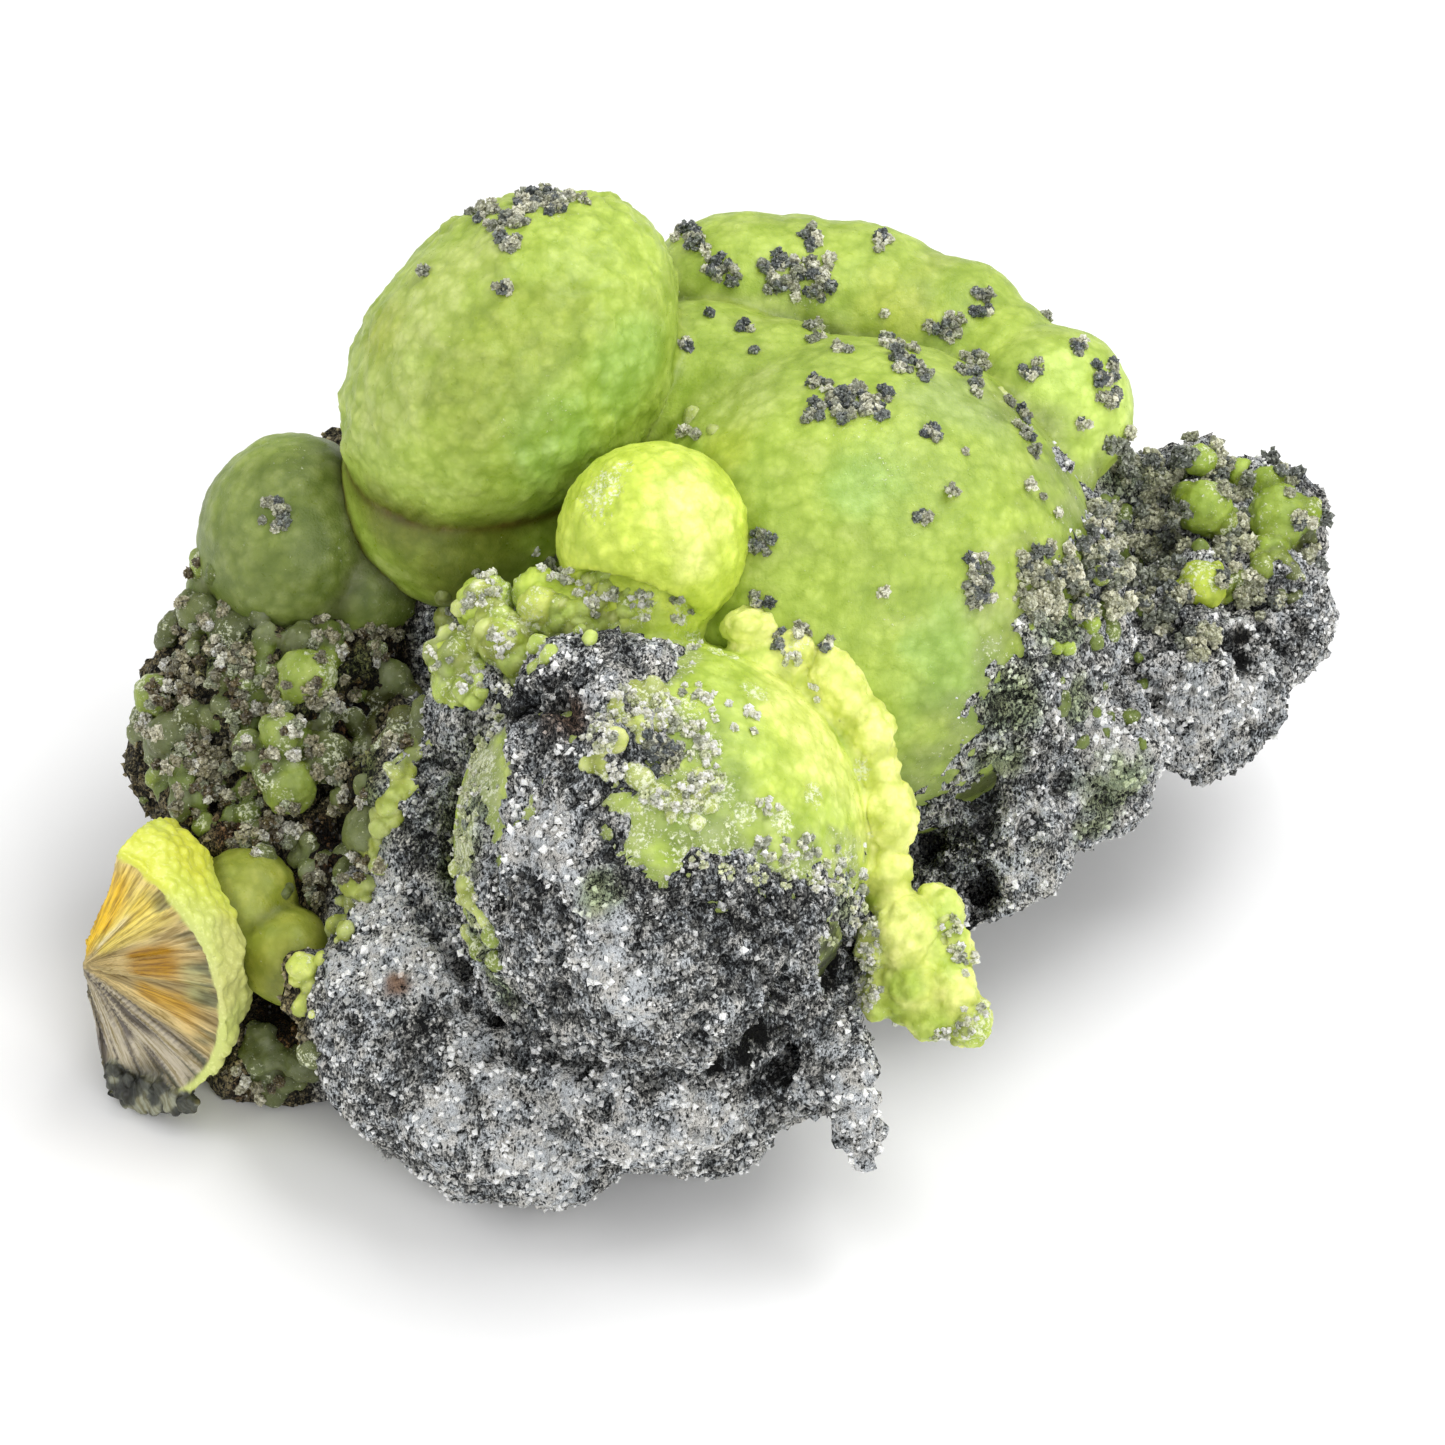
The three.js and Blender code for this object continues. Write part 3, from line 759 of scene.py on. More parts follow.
def plain_balls(ones, fineness, seed):
    width, most = fineness
    points, faces = skin(balls(ones, 5), width, smoothing=2)
    points, faces = thinned(points, faces, under_rock(points), most)
    tops = domes(points, 1.0, seed)
    relief = 0.09 * tops + 0.14 * rough(points, 2.6, seed + 5, 2)
    return raised(points, faces, relief), faces, tops


# The broken ball

RIND = 0.5  # how thick the ball's green skin is on its broken face


def face_axis(across, up, out):
    axis = across * ACROSS + up * UP + out * OUT
    return axis / np.linalg.norm(axis)


def fan_polar(points, break_at):
    """Each point's angle round the ball's middle on its own broken face, and its distance from there."""
    offset = points - on_face(*BROKEN_BALL[0])
    angle = np.zeros(len(points))
    for number, normal in enumerate(BREAKS):
        normal = face_axis(*normal)
        side = np.cross(UP, normal)
        side /= np.linalg.norm(side)
        above = np.cross(normal, side)
        angle = np.where(break_at == number, np.arctan2(offset @ above, offset @ side), angle)
    return angle, np.linalg.norm(offset, axis=1)


FOOT_KNOBS = [  # dark knobs on its lowest part: across and up on the face, and the radius
    (-32.1, -18.4, 0.5), (-32.1, -19.0, 0.6), (-31.5, -19.5, 0.65), (-30.8, -19.8, 0.7), (-29.9, -20.0, 0.65),
    (-29.0, -20.0, 0.6), (-28.2, -20.0, 0.5), (-31.4, -18.9, 0.5), (-30.5, -19.2, 0.5), (-29.6, -19.4, 0.5),
]


def foot_knobs():
    (across, up, out), (slope_x, slope_y, slope_z) = BROKEN_BALL[0], BREAKS[0]
    return [
        ((x, y, out - (slope_x * (x - across) + slope_y * (y - up)) / slope_z), (size, size, size), 0)
        for x, y, size in FOOT_KNOBS
    ]


def broken_shape():
    """The ball within its broken faces, each point's share in the needles and the knobs, and its face."""
    centre = on_face(*BROKEN_BALL[0])
    radius = BROKEN_BALL[1][0]
    axes = [face_axis(*normal) for normal in BREAKS]
    start = centre - 2.5 * axes[0] - 1.5 * axes[1] - 1.5 * axes[2]
    unit, faces = unit_sphere(7)
    toward = start - centre
    along = unit @ toward
    reach = -along + np.sqrt(along**2 + radius**2 - toward @ toward)
    for axis in axes:
        rise = unit @ axis
        room = (centre - start) @ axis
        reach = np.where(rise > 1e-6, np.minimum(reach, room / np.maximum(rise, 1e-6)), reach)
    points = start + unit * reach[:, None]
    width, most = FINENESS["broken"]
    points, faces = skin([(points, faces), *balls(foot_knobs(), 3)], width, smoothing=1)
    points, faces = thinned(points, faces, under_rock(points), most)
    normals = normals_of(points, faces)
    break_at = np.argmax([normals @ axis for axis in axes], axis=0)
    angle, distance = fan_polar(points, break_at)
    rays = np.stack([angle * 14, distance * 0.22, np.zeros(len(points))], axis=1)
    broad = np.max([ramp(normals @ axis, 0.55, 0.8) for axis in axes], axis=0)
    knobs = near(points, foot_knobs(), 0.1, 0.3)
    fan = broad * (1 - ramp(distance, radius - RIND - 0.15, radius - RIND + 0.1)) * (1 - knobs)
    steps = 0.34 * rough(rays, 1.4, 101, 3) - 0.16
    knobbly = 0.2 * domes(points, 0.8, 111) + 0.26 * rough(points, 1.8, 112, 3)
    relief = fan * ramp(distance, 0.3, 2.0) * steps + (1 - broad) * knobbly
    relief += 0.25 * knobs * domes(points, 0.5, 113)
    points = points + normals * relief[:, None]
    points[:, 2] = np.maximum(points[:, 2], BROKEN_HEIGHT)
    return points, faces, fan, knobs, break_at


# Grains and beads laid on what the photograph shows

def step_within(reach, rng):
    """A random step within a circle."""
    angle, away = rng.uniform(0, 2 * math.pi), reach * math.sqrt(rng.uniform(0, 1))
    return away * math.cos(angle), away * math.sin(angle)


def scattered(tree, spots, per_spot, rng):
    """Places and normals at random within spots of the photograph, given as (x, y, radius in pixels)."""
    found = []
    for x, y, reach in spots:
        for _ in range(max(1, round(per_spot * reach * reach))):
            step_x, step_y = step_within(reach, rng)
            seen = seen_at(tree, x + step_x, y + step_y)
            if seen is not None:
                found.append(seen)
    return found


def clumped(seen, lump, grain, per_lump, rng):
    """Grains packed round small lumps on the given places: centres, radii and each grain's lump."""
    centres, radii, owner = [], [], []
    for number, (place, normal) in enumerate(seen):
        size = rng.uniform(*lump)
        middle = place + normal * rng.uniform(0.0, 0.7) * size
        for _ in range(per_lump):
            direction = rng.normal(size=3)
            direction /= np.linalg.norm(direction)
            centres.append(middle + direction * size * rng.uniform(0.5, 1))
            radii.append(rng.uniform(*grain))
            owner.append(number)
    return np.array(centres), np.array(radii), np.array(owner)


def grain_mesh(places, sizes, rng, form, jitter=0.16):
    """Uneven grains of those sizes at those places, made from one form, and each point's grain."""
    unit, faces = form
    count, corners = len(places), len(unit)
    frames = np.linalg.qr(rng.normal(size=(count, 3, 3)))[0]
    frames *= np.sign(np.linalg.det(frames))[:, None, None]
    shape = unit[None] * rng.uniform(0.75, 1.25, (count, 1, 3))
    shape = shape * (1 + rng.uniform(-jitter, jitter, (count, corners, 1)))
    turned = np.einsum("nij,nkj->nki", frames, shape)
    points = places[:, None] + sizes[:, None, None] * turned
    faces = faces[None] + corners * np.arange(count)[:, None, None]
    return points.reshape(-1, 3), faces.reshape(-1, 3), np.repeat(np.arange(count), corners)


FLAKE = (  # eight flat sides
    np.array([[1.0, 0, 0], [-1, 0, 0], [0, 1, 0], [0, -1, 0], [0, 0, 1], [0, 0, -1]]),
    np.array([[0, 2, 4], [2, 1, 4], [1, 3, 4], [3, 0, 4], [2, 0, 5], [1, 2, 5], [3, 1, 5], [0, 3, 5]]),
)


def strewn(points, faces, count, rng):
    """Places at random on the open rock, more on the side with the crystals, their normals and points."""
    a, b, c = (points[faces[:, k]] for k in range(3))
    flat = np.cross(b - a, c - a)
    area = np.linalg.norm(flat, axis=1)
    hidden = (a[:, 2] < 0.3) | in_balls(a, 0.3)
    share = np.where(hidden, 0, area * (0.3 + 0.7 * ramp(flat @ OUT / np.maximum(area, 1e-12), -0.3, 0.1)))
    chosen = rng.choice(len(faces), count, p=share / share.sum())
    along = rng.dirichlet((1, 1, 1), count)
    places = np.einsum("nk,nkd->nd", along, points[faces[chosen]])
    return places, flat[chosen] / area[chosen][:, None], faces[chosen, 0]


def grain_piece(name, tree, spots, per_spot, lump, grain, per_lump, palette, rng, finish):
    """Clumps of grains over spots of the photograph, each clump of one shade and its grains near it."""
    centres, radii, owner = clumped(scattered(tree, spots, per_spot, rng), lump, grain, per_lump, rng)
    points, faces, which = grain_mesh(centres, radii, rng, FLAKE)
    clump_shade = palette[rng.integers(0, len(palette), owner.max() + 1)]
    grain_shade = np.minimum(clump_shade[owner] * rng.uniform(0.6, 1.5, (len(owner), 1)), 0.9)
    return piece(name, points, faces, finish, "rock", smooth=False, tint=grain_shade[which])


# Build the shapes

grains = grain_finish("glassy_grains", 0.5)
frosted = grain_finish("frosted_grains", 0.7, (214, 212, 190))

rock_points, rock_faces = rock_shape()
rock_tree = tree_of((rock_points, rock_faces))
matrix_tree = tree_of(solid("matrix"))
main_points, main_faces, main_tops = main_shape()
front_points, front_faces, front_tops, front_frost = front_shape()
left_points, left_faces, left_tops = plain_balls(LEFT_BALLS, FINENESS["left"], 121)
low_points, low_faces, low_tops = plain_balls(LOW_BALLS, FINENESS["low"], 131)
broken_points, broken_faces, fan, knobs, break_at = broken_shape()
skins = [
    (rock_points, rock_faces), (main_points, main_faces), (front_points, front_faces),
    (left_points, left_faces), (low_points, low_faces), (broken_points, broken_faces),
]
everything = tree_of(*skins)

# Paint the rock

PALE_SPOTS = [
    (602, 900, 0.9), (616, 920, 0.9), (610, 950, 1.0), (592, 966, 1.0), (618, 978, 1.1), (630, 1000, 1.2),
    (610, 1085, 1.3), (1020, 850, 0.9), (1035, 870, 0.8), (1010, 820, 0.7), (1000, 860, 0.6),
    (850, 1100, 1.2), (640, 1018, 0.9), (600, 925, 0.8), (652, 908, 0.5), (740, 950, 0.6), (733, 1010, 0.6),
    (545, 832, 1.6), (560, 850, 1.6), (530, 812, 1.2), (575, 866, 1.2), (520, 850, 1.0), (594, 655, 0.7),
    (560, 655, 0.7), (400, 960, 2.2), (360, 960, 1.6), (470, 1050, 1.1), (380, 900, 1.8), (500, 1100, 1.2),
    (450, 1090, 0.8), (420, 960, 1.8), (1262, 660, 0.9), (1240, 630, 0.8), (1280, 620, 0.8),
    (866, 1110, 1.2), (520, 1160, 2), (640, 1150, 2), (560, 1190, 2), (700, 1125, 2.2), (740, 1120, 1.4),
    (440, 1120, 1.4), (868, 1075, 0.9), (866, 1100, 1.0), (868, 1125, 1.1), (866, 1150, 1.2),
    (850, 1165, 1.0), (560, 1100, 1.4), (1180, 745, 2.2), (1120, 760, 1.8), (1100, 720, 1.8),
    (1180, 700, 2), (1030, 810, 0.8), (1024, 840, 0.8), (1022, 870, 0.8), (1000, 770, 0.8),
    (1230, 720, 1.6), (1250, 690, 1.2), (1080, 800, 0.6), (1076, 830, 0.6),
]
# Darker rock, and painted shade in the hollows, under overhangs and on the knob's faces turned from the light
DARK_AND_SHADED_SPOTS = [
    (520, 700, 1.8), (560, 680, 1.6), (590, 655, 1.4), (545, 735, 1.4), (745, 1050, 1.4), (790, 1030, 1.2),
    (850, 975, 1.0), (520, 1010, 1.4), (640, 870, 2), (700, 905, 3), (770, 930, 3), (800, 890, 2),
    (440, 830, 1.8), (615, 780, 2.2), (1000, 830, 2.4), (960, 860, 2), (1290, 640, 2.4), (140, 1090, 2),
    (610, 1040, 1.6), (560, 1000, 1.4), (1180, 620, 1.6), (1290, 480, 1.6), (600, 640, 1.4),
    (1250, 660, 1.6), (740, 1030, 1.2), (600, 860, 1.2), (540, 900, 1.4), (604, 888, 0.9), (640, 1070, 1.4),
    (420, 1040, 1.2), (760, 1100, 1.2), (720, 960, 2), (820, 920, 1.4), (540, 1040, 1.6),
]
GREEN_SPOTS = [
    (455, 870, 0.9), (470, 935, 1.0), (482, 955, 1.0), (492, 975, 0.9), (505, 1000, 0.8), (462, 850, 0.9),
    (470, 850, 1.7), (462, 900, 1.5), (478, 790, 1.8), (600, 890, 1.1), (500, 985, 1.2), (1115, 790, 2),
    (1095, 830, 1.2), (1010, 700, 1.8), (1060, 620, 2), (1080, 700, 1.4), (1000, 760, 1.6), (845, 900, 1.2),
    (300, 1060, 1.6), (340, 690, 2.4), (230, 650, 2), (180, 730, 2), (360, 800, 2.4), (1120, 470, 1.6),
]
GAP_SPOTS = [  # dark brown gaps on the slope
    (370, 700, 1.6), (340, 850, 1.6), (312, 850, 1.6), (300, 870, 1.4), (395, 650, 1.2), (330, 620, 1.0),
    (270, 1020, 1.4), (255, 850, 1.2), (350, 790, 1.4), (320, 730, 1.2), (215, 700, 0.9), (390, 760, 1.2),
]
RUST_SPOTS = [
    (567, 718, 1.1), (395, 985, 0.7), (330, 640, 1.4), (240, 830, 1.5), (330, 850, 1.6), (290, 1030, 2),
    (345, 720, 1.6), (190, 800, 1.2), (400, 590, 1.4), (265, 900, 1.2), (250, 1085, 1),
]
FINE_EDGE = 0.8  # mm: how finely the edges of small patches wander
pale = patch(rock_points, everything, PALE_SPOTS, FINE_EDGE)
rock_tone = 1.7 * pale - 1.0 * patch(rock_points, everything, DARK_AND_SHADED_SPOTS, FINE_EDGE)
rock_tone += 0.16 * rough(rock_points, 5, 141, 2)
# Painted shade in the pits of the relief and painted light on its ridges
rock_tone += 0.7 * np.clip(standing_out(rock_points, rock_faces) / 0.1, -1, 1) + 0.42
across, up = across_and_up(rock_points)
slope_edge = np.interp(up, [-19, -12.5, -2, 8], [-21.2, -21.6, -17, -14.5])  # the slope is to its left
broad_normals = np.array([matrix_tree.find_nearest(point)[1] for point in rock_points])
behind = ramp(-broad_normals @ OUT, 0.0, 0.6)  # the edge is less sharp on the back
ragged = (0.4 + 0.3 * np.clip(up - 2, 0, 12) + 1.6 * behind) * rough(rock_points, 5, 142, 3)
left_side = ramp((slope_edge - across + ragged - 0.25) / (1 + 5 * behind), -0.65, 0.65)
gaps = patch(rock_points, everything, GAP_SPOTS)
rock_tint = painted(
    np.ones(3),
    (0.9 * left_side, linear(156, 138, 84)),
    (0.7 * patch(rock_points, everything, GREEN_SPOTS, FINE_EDGE), linear(150, 172, 92)),
    (0.85 * patch(rock_points, everything, RUST_SPOTS), linear(160, 112, 74)),
    (0.85 * gaps * left_side, linear(112, 76, 34)),
)
furrow = np.clip(lifted(rock_points, FURROW) / 0.8, 0, 1)
# Darker on the slope and darker still in its gaps, with painted shade in the furrow
rock_tone -= left_side * (0.7 + 0.9 * gaps) + 1.6 * furrow
# Painted shadow: the rock turns black in the deep hollows
hollow_shadow = in_hollows(rock_points)
piece(
    "rock", rock_points, rock_faces, rock_finish(), "rock", ["matrix"],
    tint=painted(rock_tint, (0.94 * hollow_shadow, linear(90, 84, 70))), tone=rock_tone - 3 * hollow_shadow,
)

# Crumbs over the rock, pale where it is pale

crumb_rng = np.random.default_rng(11)
places, crumb_normals, roots = strewn(rock_points, rock_faces, CRUMBS, crumb_rng)
crumb_pale, crumb_hollow_shadow = pale[roots], hollow_shadow[roots]
crumb_sizes = 0.26 * crumb_rng.uniform(0.5, 0.92, CRUMBS) ** 2 * (1 + 0.3 * crumb_pale - 0.6 * crumb_hollow_shadow)
crumb_light = 0.7 * rough(places, 1.6, 201, 2) + 0.8 * noise(places, 0.55, 203)
crumb_light += 0.6 * rock_tone[roots] + crumb_rng.normal(0, 0.3, CRUMBS) + 0.1 + 0.3 * crumb_pale**2
# Crumbs in the deep hollows are painted darker as their shadow
crumb_greys = np.interp(crumb_light, [-1.0, -0.3, 0.3, 0.9], [26, 86, 192, 255]) * (1 - 0.8 * crumb_hollow_shadow)
crumb_tint = linear(crumb_greys, crumb_greys + 1, crumb_greys + 1).T * rock_tint[roots]
crumb_centres = places + crumb_normals * (0.2 * crumb_sizes)[:, None]
crumb_points, crumb_faces, which = grain_mesh(crumb_centres, crumb_sizes, crumb_rng, FLAKE, 0.35)
piece(
    "rock_crumbs", crumb_points, crumb_faces, grain_finish("stony_crumbs", 0.15, (205, 204, 200)), "rock",
    smooth=False, tint=crumb_tint[which],
)

# Paint the crystal

APPLE = linear(178, 199, 92)
LIME = linear(203, 222, 110)
TEAL = linear(174, 206, 122)
OLIVE = linear(112, 116, 34)
AMBER = linear(92, 62, 14)
LEMON = linear(234, 247, 114)
LEDGE_GREEN = linear(210, 224, 140)
PRIMROSE = linear(255, 255, 172)
SAGE = linear(123, 137, 72)
MOSS = linear(118, 124, 86)
PALE = linear(216, 222, 160)
OCHRE = linear(196, 202, 74)
FADED = linear(156, 170, 88)
SILK = linear(164, 144, 96)

warm = ramp(rough(main_points, 5, 151, 3), -0.5, 0.9)
streaks = noise(main_points @ np.array([[0.5, -0.2, 0.3], [0.1, 1.2, 0.2], [0.4, 0.2, 1.4]]), 1.6, 152)
left_part = 1 - ramp(main_points @ ACROSS, -8, -3)
main_edge = 1 - ramp(gap_to(main_points, rock_tree) + 0.5 * rough(main_points, 1.4, 153), 0.1, 1.3)
main_tint = painted(
    APPLE,
    (0.7 * warm, LIME),
    (0.25 * ramp(streaks, 0.2, 0.8), PALE),
    # Painted light on the tops of the bumps
    (0.5 * main_tops, PALE),
    *spots_on(
        main_points,
        (0.7, TEAL, [(615, 380, 2.6), (560, 430, 3), (960, 660, 3), (640, 350, 2), (860, 480, 2)]),
        # Painted light on the upper, lit parts of the balls here
        (0.7, LIME, [(620, 230, 4), (1000, 330, 2)]),
        (0.8, linear(222, 242, 140), [(1090, 430, 3.2), (1100, 395, 2.8), (1060, 380, 2)]),
        # Painted shade of the knobbly relief on the middle left of the big ball
        (0.55, linear(158, 172, 70), [(500, 360, 3.6), (540, 330, 2.8), (470, 400, 2.8)]),
        (0.5, OCHRE, [(700, 470, 2), (720, 450, 1.6)]),
        (0.4, PALE, [(380, 400, 2.6), (395, 340, 2), (740, 400, 2.4), (1000, 620, 2.2)]),
        (0.6, linear(172, 190, 134), [(960, 400, 2.8)]),
        (0.5, OCHRE, [(900, 300, 2), (380, 330, 1.6)]),
        (0.5, PALE, [(430, 290, 2.6), (470, 260, 1.6)]),
        # Painted shade on the lower lobe, which faces down
        (0.7, OLIVE, [(460, 560, 3), (400, 530, 2.4)]),
    ),
    # Painted shade in the creases between balls, browner in the narrowest creases on the left
    ((0.3 + 0.5 * left_part) * crease(main_points, ALL_BALLS, 1.1), OLIVE),
    (0.8 * left_part * crease(main_points, ALL_BALLS, 0.35), AMBER),
    (0.55 * main_edge, linear(134, 144, 100)),
    # Painted shadow in a notch of the ball
    *spots_on(main_points, (0.9, linear(74, 78, 54), [(979, 787, 0.9), (990, 779, 0.8), (970, 793, 0.7)])),
)
main_frost = patch(main_points, everything, [
    (1045, 560, 1.8), (1040, 610, 2.2), (1012, 660, 1.6), (985, 720, 1.3), (965, 780, 1.2), (1056, 520, 1.2),
    (850, 430, 1.6), (880, 470, 1.2), (905, 385, 1.0), (552, 215, 1.2), (800, 300, 1.4), (1000, 400, 1.0),
    (1030, 440, 0.8), (820, 820, 1.2), (560, 410, 1.0), (655, 330, 0.8), (505, 430, 0.7), (890, 620, 1.0),
])
crystal = crystal_finish("green_crystal")
piece(
    "green_balls", main_points, main_faces, crystal, "wavellite", ["wavellite_main"],
    tint=main_tint, frost=np.maximum(0.45 * main_frost, 0.4 * main_edge),
)

lit = ramp(rough(front_points, 3, 161, 3), -0.5, 0.8)
on_chain = near(front_points, EDGE_BEADS, 0.2, 0.6)
limb = patch(front_points, everything, [
    (478, 780, 2.6), (500, 720, 2.4), (460, 850, 1.6), (500, 990, 2.4), (470, 820, 2),
])
front_edge = 1 - ramp(gap_to(front_points, rock_tree) + 0.4 * rough(front_points, 1.2, 163), 0.1, 0.8)
front_tint = painted(
    LIME,
    (0.5 * lit, LEMON),
    # Painted light on the tops of the bumps
    (0.3 * front_tops, PALE),
    (0.9 * near(front_points, [BUD], 0.0, 0.5), LEMON),
    (on_chain, PRIMROSE),
    *spots_on(
        front_points,
        (0.6, linear(226, 238, 150), [(866, 940, 1.6), (870, 990, 1.6)]),
        (0.7, linear(196, 220, 96), [
            (950, 925, 1.7), (955, 960, 1.2), (930, 1035, 1.4), (980, 1035, 1.4), (905, 985, 1.0),
            (890, 1015, 1.2),
        ]),
        # Painted highlights on the lit right side of the ball, on the bud and on the chain, with the
        # pendant's bright ball
        (0.8, PRIMROSE, [
            (820, 735, 3.2), (905, 930, 1.5), (890, 815, 2), (790, 690, 2), (850, 690, 1.6), (700, 520, 2.4),
            (890, 820, 1.2),
        ]),
        (0.7, linear(150, 172, 84), [(700, 740, 1.6), (690, 810, 1.8), (750, 870, 1.6), (730, 780, 1.4)]),
    ),
    (0.9 * limb, linear(182, 184, 158)),
    # Painted shade in the creases between the chain's beads
    (0.35 * crease(front_points, EDGE_BEADS, 0.4), OCHRE),
    *spots_on(
        front_points,
        (0.55, linear(180, 194, 138), [(760, 830, 1.5), (735, 800, 1.2), (800, 850, 1.2), (700, 830, 1.0)]),
        (1.0, linear(48, 50, 36), [  # painted shadow in the crevice between the ball and its chain of beads
            (832, 946, 0.9), (824, 942, 0.9), (828, 957, 0.8), (834, 932, 0.8), (818, 954, 0.8),
        ]),
    ),
    (0.6 * front_edge * (1 - on_chain), linear(162, 172, 130)),
    # Painted shadow in the deep hollows
    (0.9 * in_hollows(front_points) * (1 - on_chain), linear(50, 52, 36)),
)
piece(
    "front_ball", front_points, front_faces, crystal_finish("lemon_crystal"), "bright_wavellite",
    ["wavellite_front"], tint=front_tint, frost=np.maximum(front_frost, np.maximum(0.8 * front_edge, limb)),
)

left_tint = painted(
    SAGE,
    (0.5 * ramp(noise(left_points, 4, 171), -0.5, 0.8), APPLE),
    (0.2 * left_tops, PALE),
    # Painted shade in the creases between balls
    (0.9 * crease(left_points, ALL_BALLS, 1.0), MOSS),
)
piece(
    "left_balls", left_points, left_faces, crystal, "olive_wavellite", ["wavellite_left"],
    tint=left_tint, frost=0.35 * ramp(noise(left_points, 2.5, 172), -0.2, 0.6),
)

low_tint = painted(
    linear(174, 178, 78),
    (0.2 * low_tops, PALE),
    # Painted shade in the creases between balls
    (0.8 * crease(low_points, ALL_BALLS, 0.8), OLIVE),
    # Painted shade on the right part of the lower ball
    *spots_on(low_points, (0.6, linear(134, 132, 40), [(285, 968, 1.4), (310, 960, 1.2), (262, 975, 1.2)])),
)
piece("low_pair", low_points, low_faces, crystal, "bright_wavellite", ["wavellite_low_pair"], tint=low_tint)

# Paint the fan

angle, distance = fan_polar(broken_points, break_at)


def sector(middle, half, start=0.0, end=20.0):
    """1 in a sector of the fan: its middle and half width in degrees, between two distances in mm."""
    off = np.abs(np.degrees(angle) - middle + 3 * noise(broken_points, 1.5, 194)) / half
    within = ramp(distance, start - 0.6, start + 0.6) * (1 - ramp(distance, end - 1, end + 1))
    return (1 - ramp(off, 0.6, 1.4)) * within


def along_needles(across, along):
    """Places for noise drawn out along the needles, from steps for each radian and each millimetre."""
    return np.stack([angle * across, distance * along, np.zeros(len(angle))], axis=1)


stroke = noise(along_needles(22, 0.3), 1, 192)
low_part = ramp(-np.degrees(angle), 38, 50)
sectors = (
    (1.0, sector(38, 16, 1.6, 8.2), linear(252, 230, 116)),
    (1.2, sector(58, 13, 0.8, 7.4), linear(252, 206, 10)),
    (0.9, sector(44, 4, 3, 6.4), linear(255, 214, 60)),
    (0.8, sector(36, 2, 0.8, 5), linear(255, 248, 222)),
    (1.2, sector(3, 10, 3.2, 6.4), linear(186, 138, 0)),
    (1.0, sector(-24, 9, 3.4, 7.0), linear(204, 156, 0)),
    (0.7, sector(-8, 9, 6.4, 8.4), linear(172, 178, 124)),
)
outer = ramp(distance, 6.6, 7.8) * ramp(stroke, -0.1, 0.3) * (1 - ramp(angle, 0.5, 0.8))
fan_tint = painted(
    linear(232, 208, 150),
    (ramp(noise(along_needles(9, 0.2), 1, 191), -0.2, 0.6), SILK),
    (low_part, linear(200, 190, 172)),
    (low_part * ramp(stroke, -0.2, 0.3), linear(108, 100, 96)),
    (low_part * ramp(distance, 5.5, 7.5) * ramp(-np.degrees(angle), 60, 80), linear(84, 86, 76)),
    *[(np.minimum(1, share * wedge * (0.9 + 0.3 * stroke)), colour) for share, wedge, colour in sectors],
    (0.7 * outer, linear(86, 92, 68)),
)
across, up = across_and_up(broken_points)
foot = ramp(-28.6 - across, 0, 0.8) * ramp(-17 - up, 0, 1)
specks = rough(broken_points, 0.7, 212, 2)
green_skin = painted(
    linear(206, 208, 126),
    (ramp(up + 0.8 * noise(broken_points, 1.5, 196), -11, -8.5), linear(214, 217, 74)),
    (0.4 * ramp(noise(broken_points, 2.5, 193), -0.4, 0.7), LIME),
    (np.maximum(foot, knobs), linear(70, 73, 66)),
    (0.8 * knobs * ramp(specks, 0.1, 0.6), linear(170, 172, 154)),
    (0.8 * knobs * ramp(-specks, 0.1, 0.6), linear(30, 32, 30)),
)
piece(
    "broken_ball", broken_points, broken_faces, fan_finish(), "broken_wavellite", ["wavellite_broken_ball"],
    tint=painted(green_skin, (fan, fan_tint)), polar=along_needles(36, 0.35), fan=np.maximum(fan, knobs),
)

# Beads that the photograph shows, as (x, y, radius) in its pixels, by colour

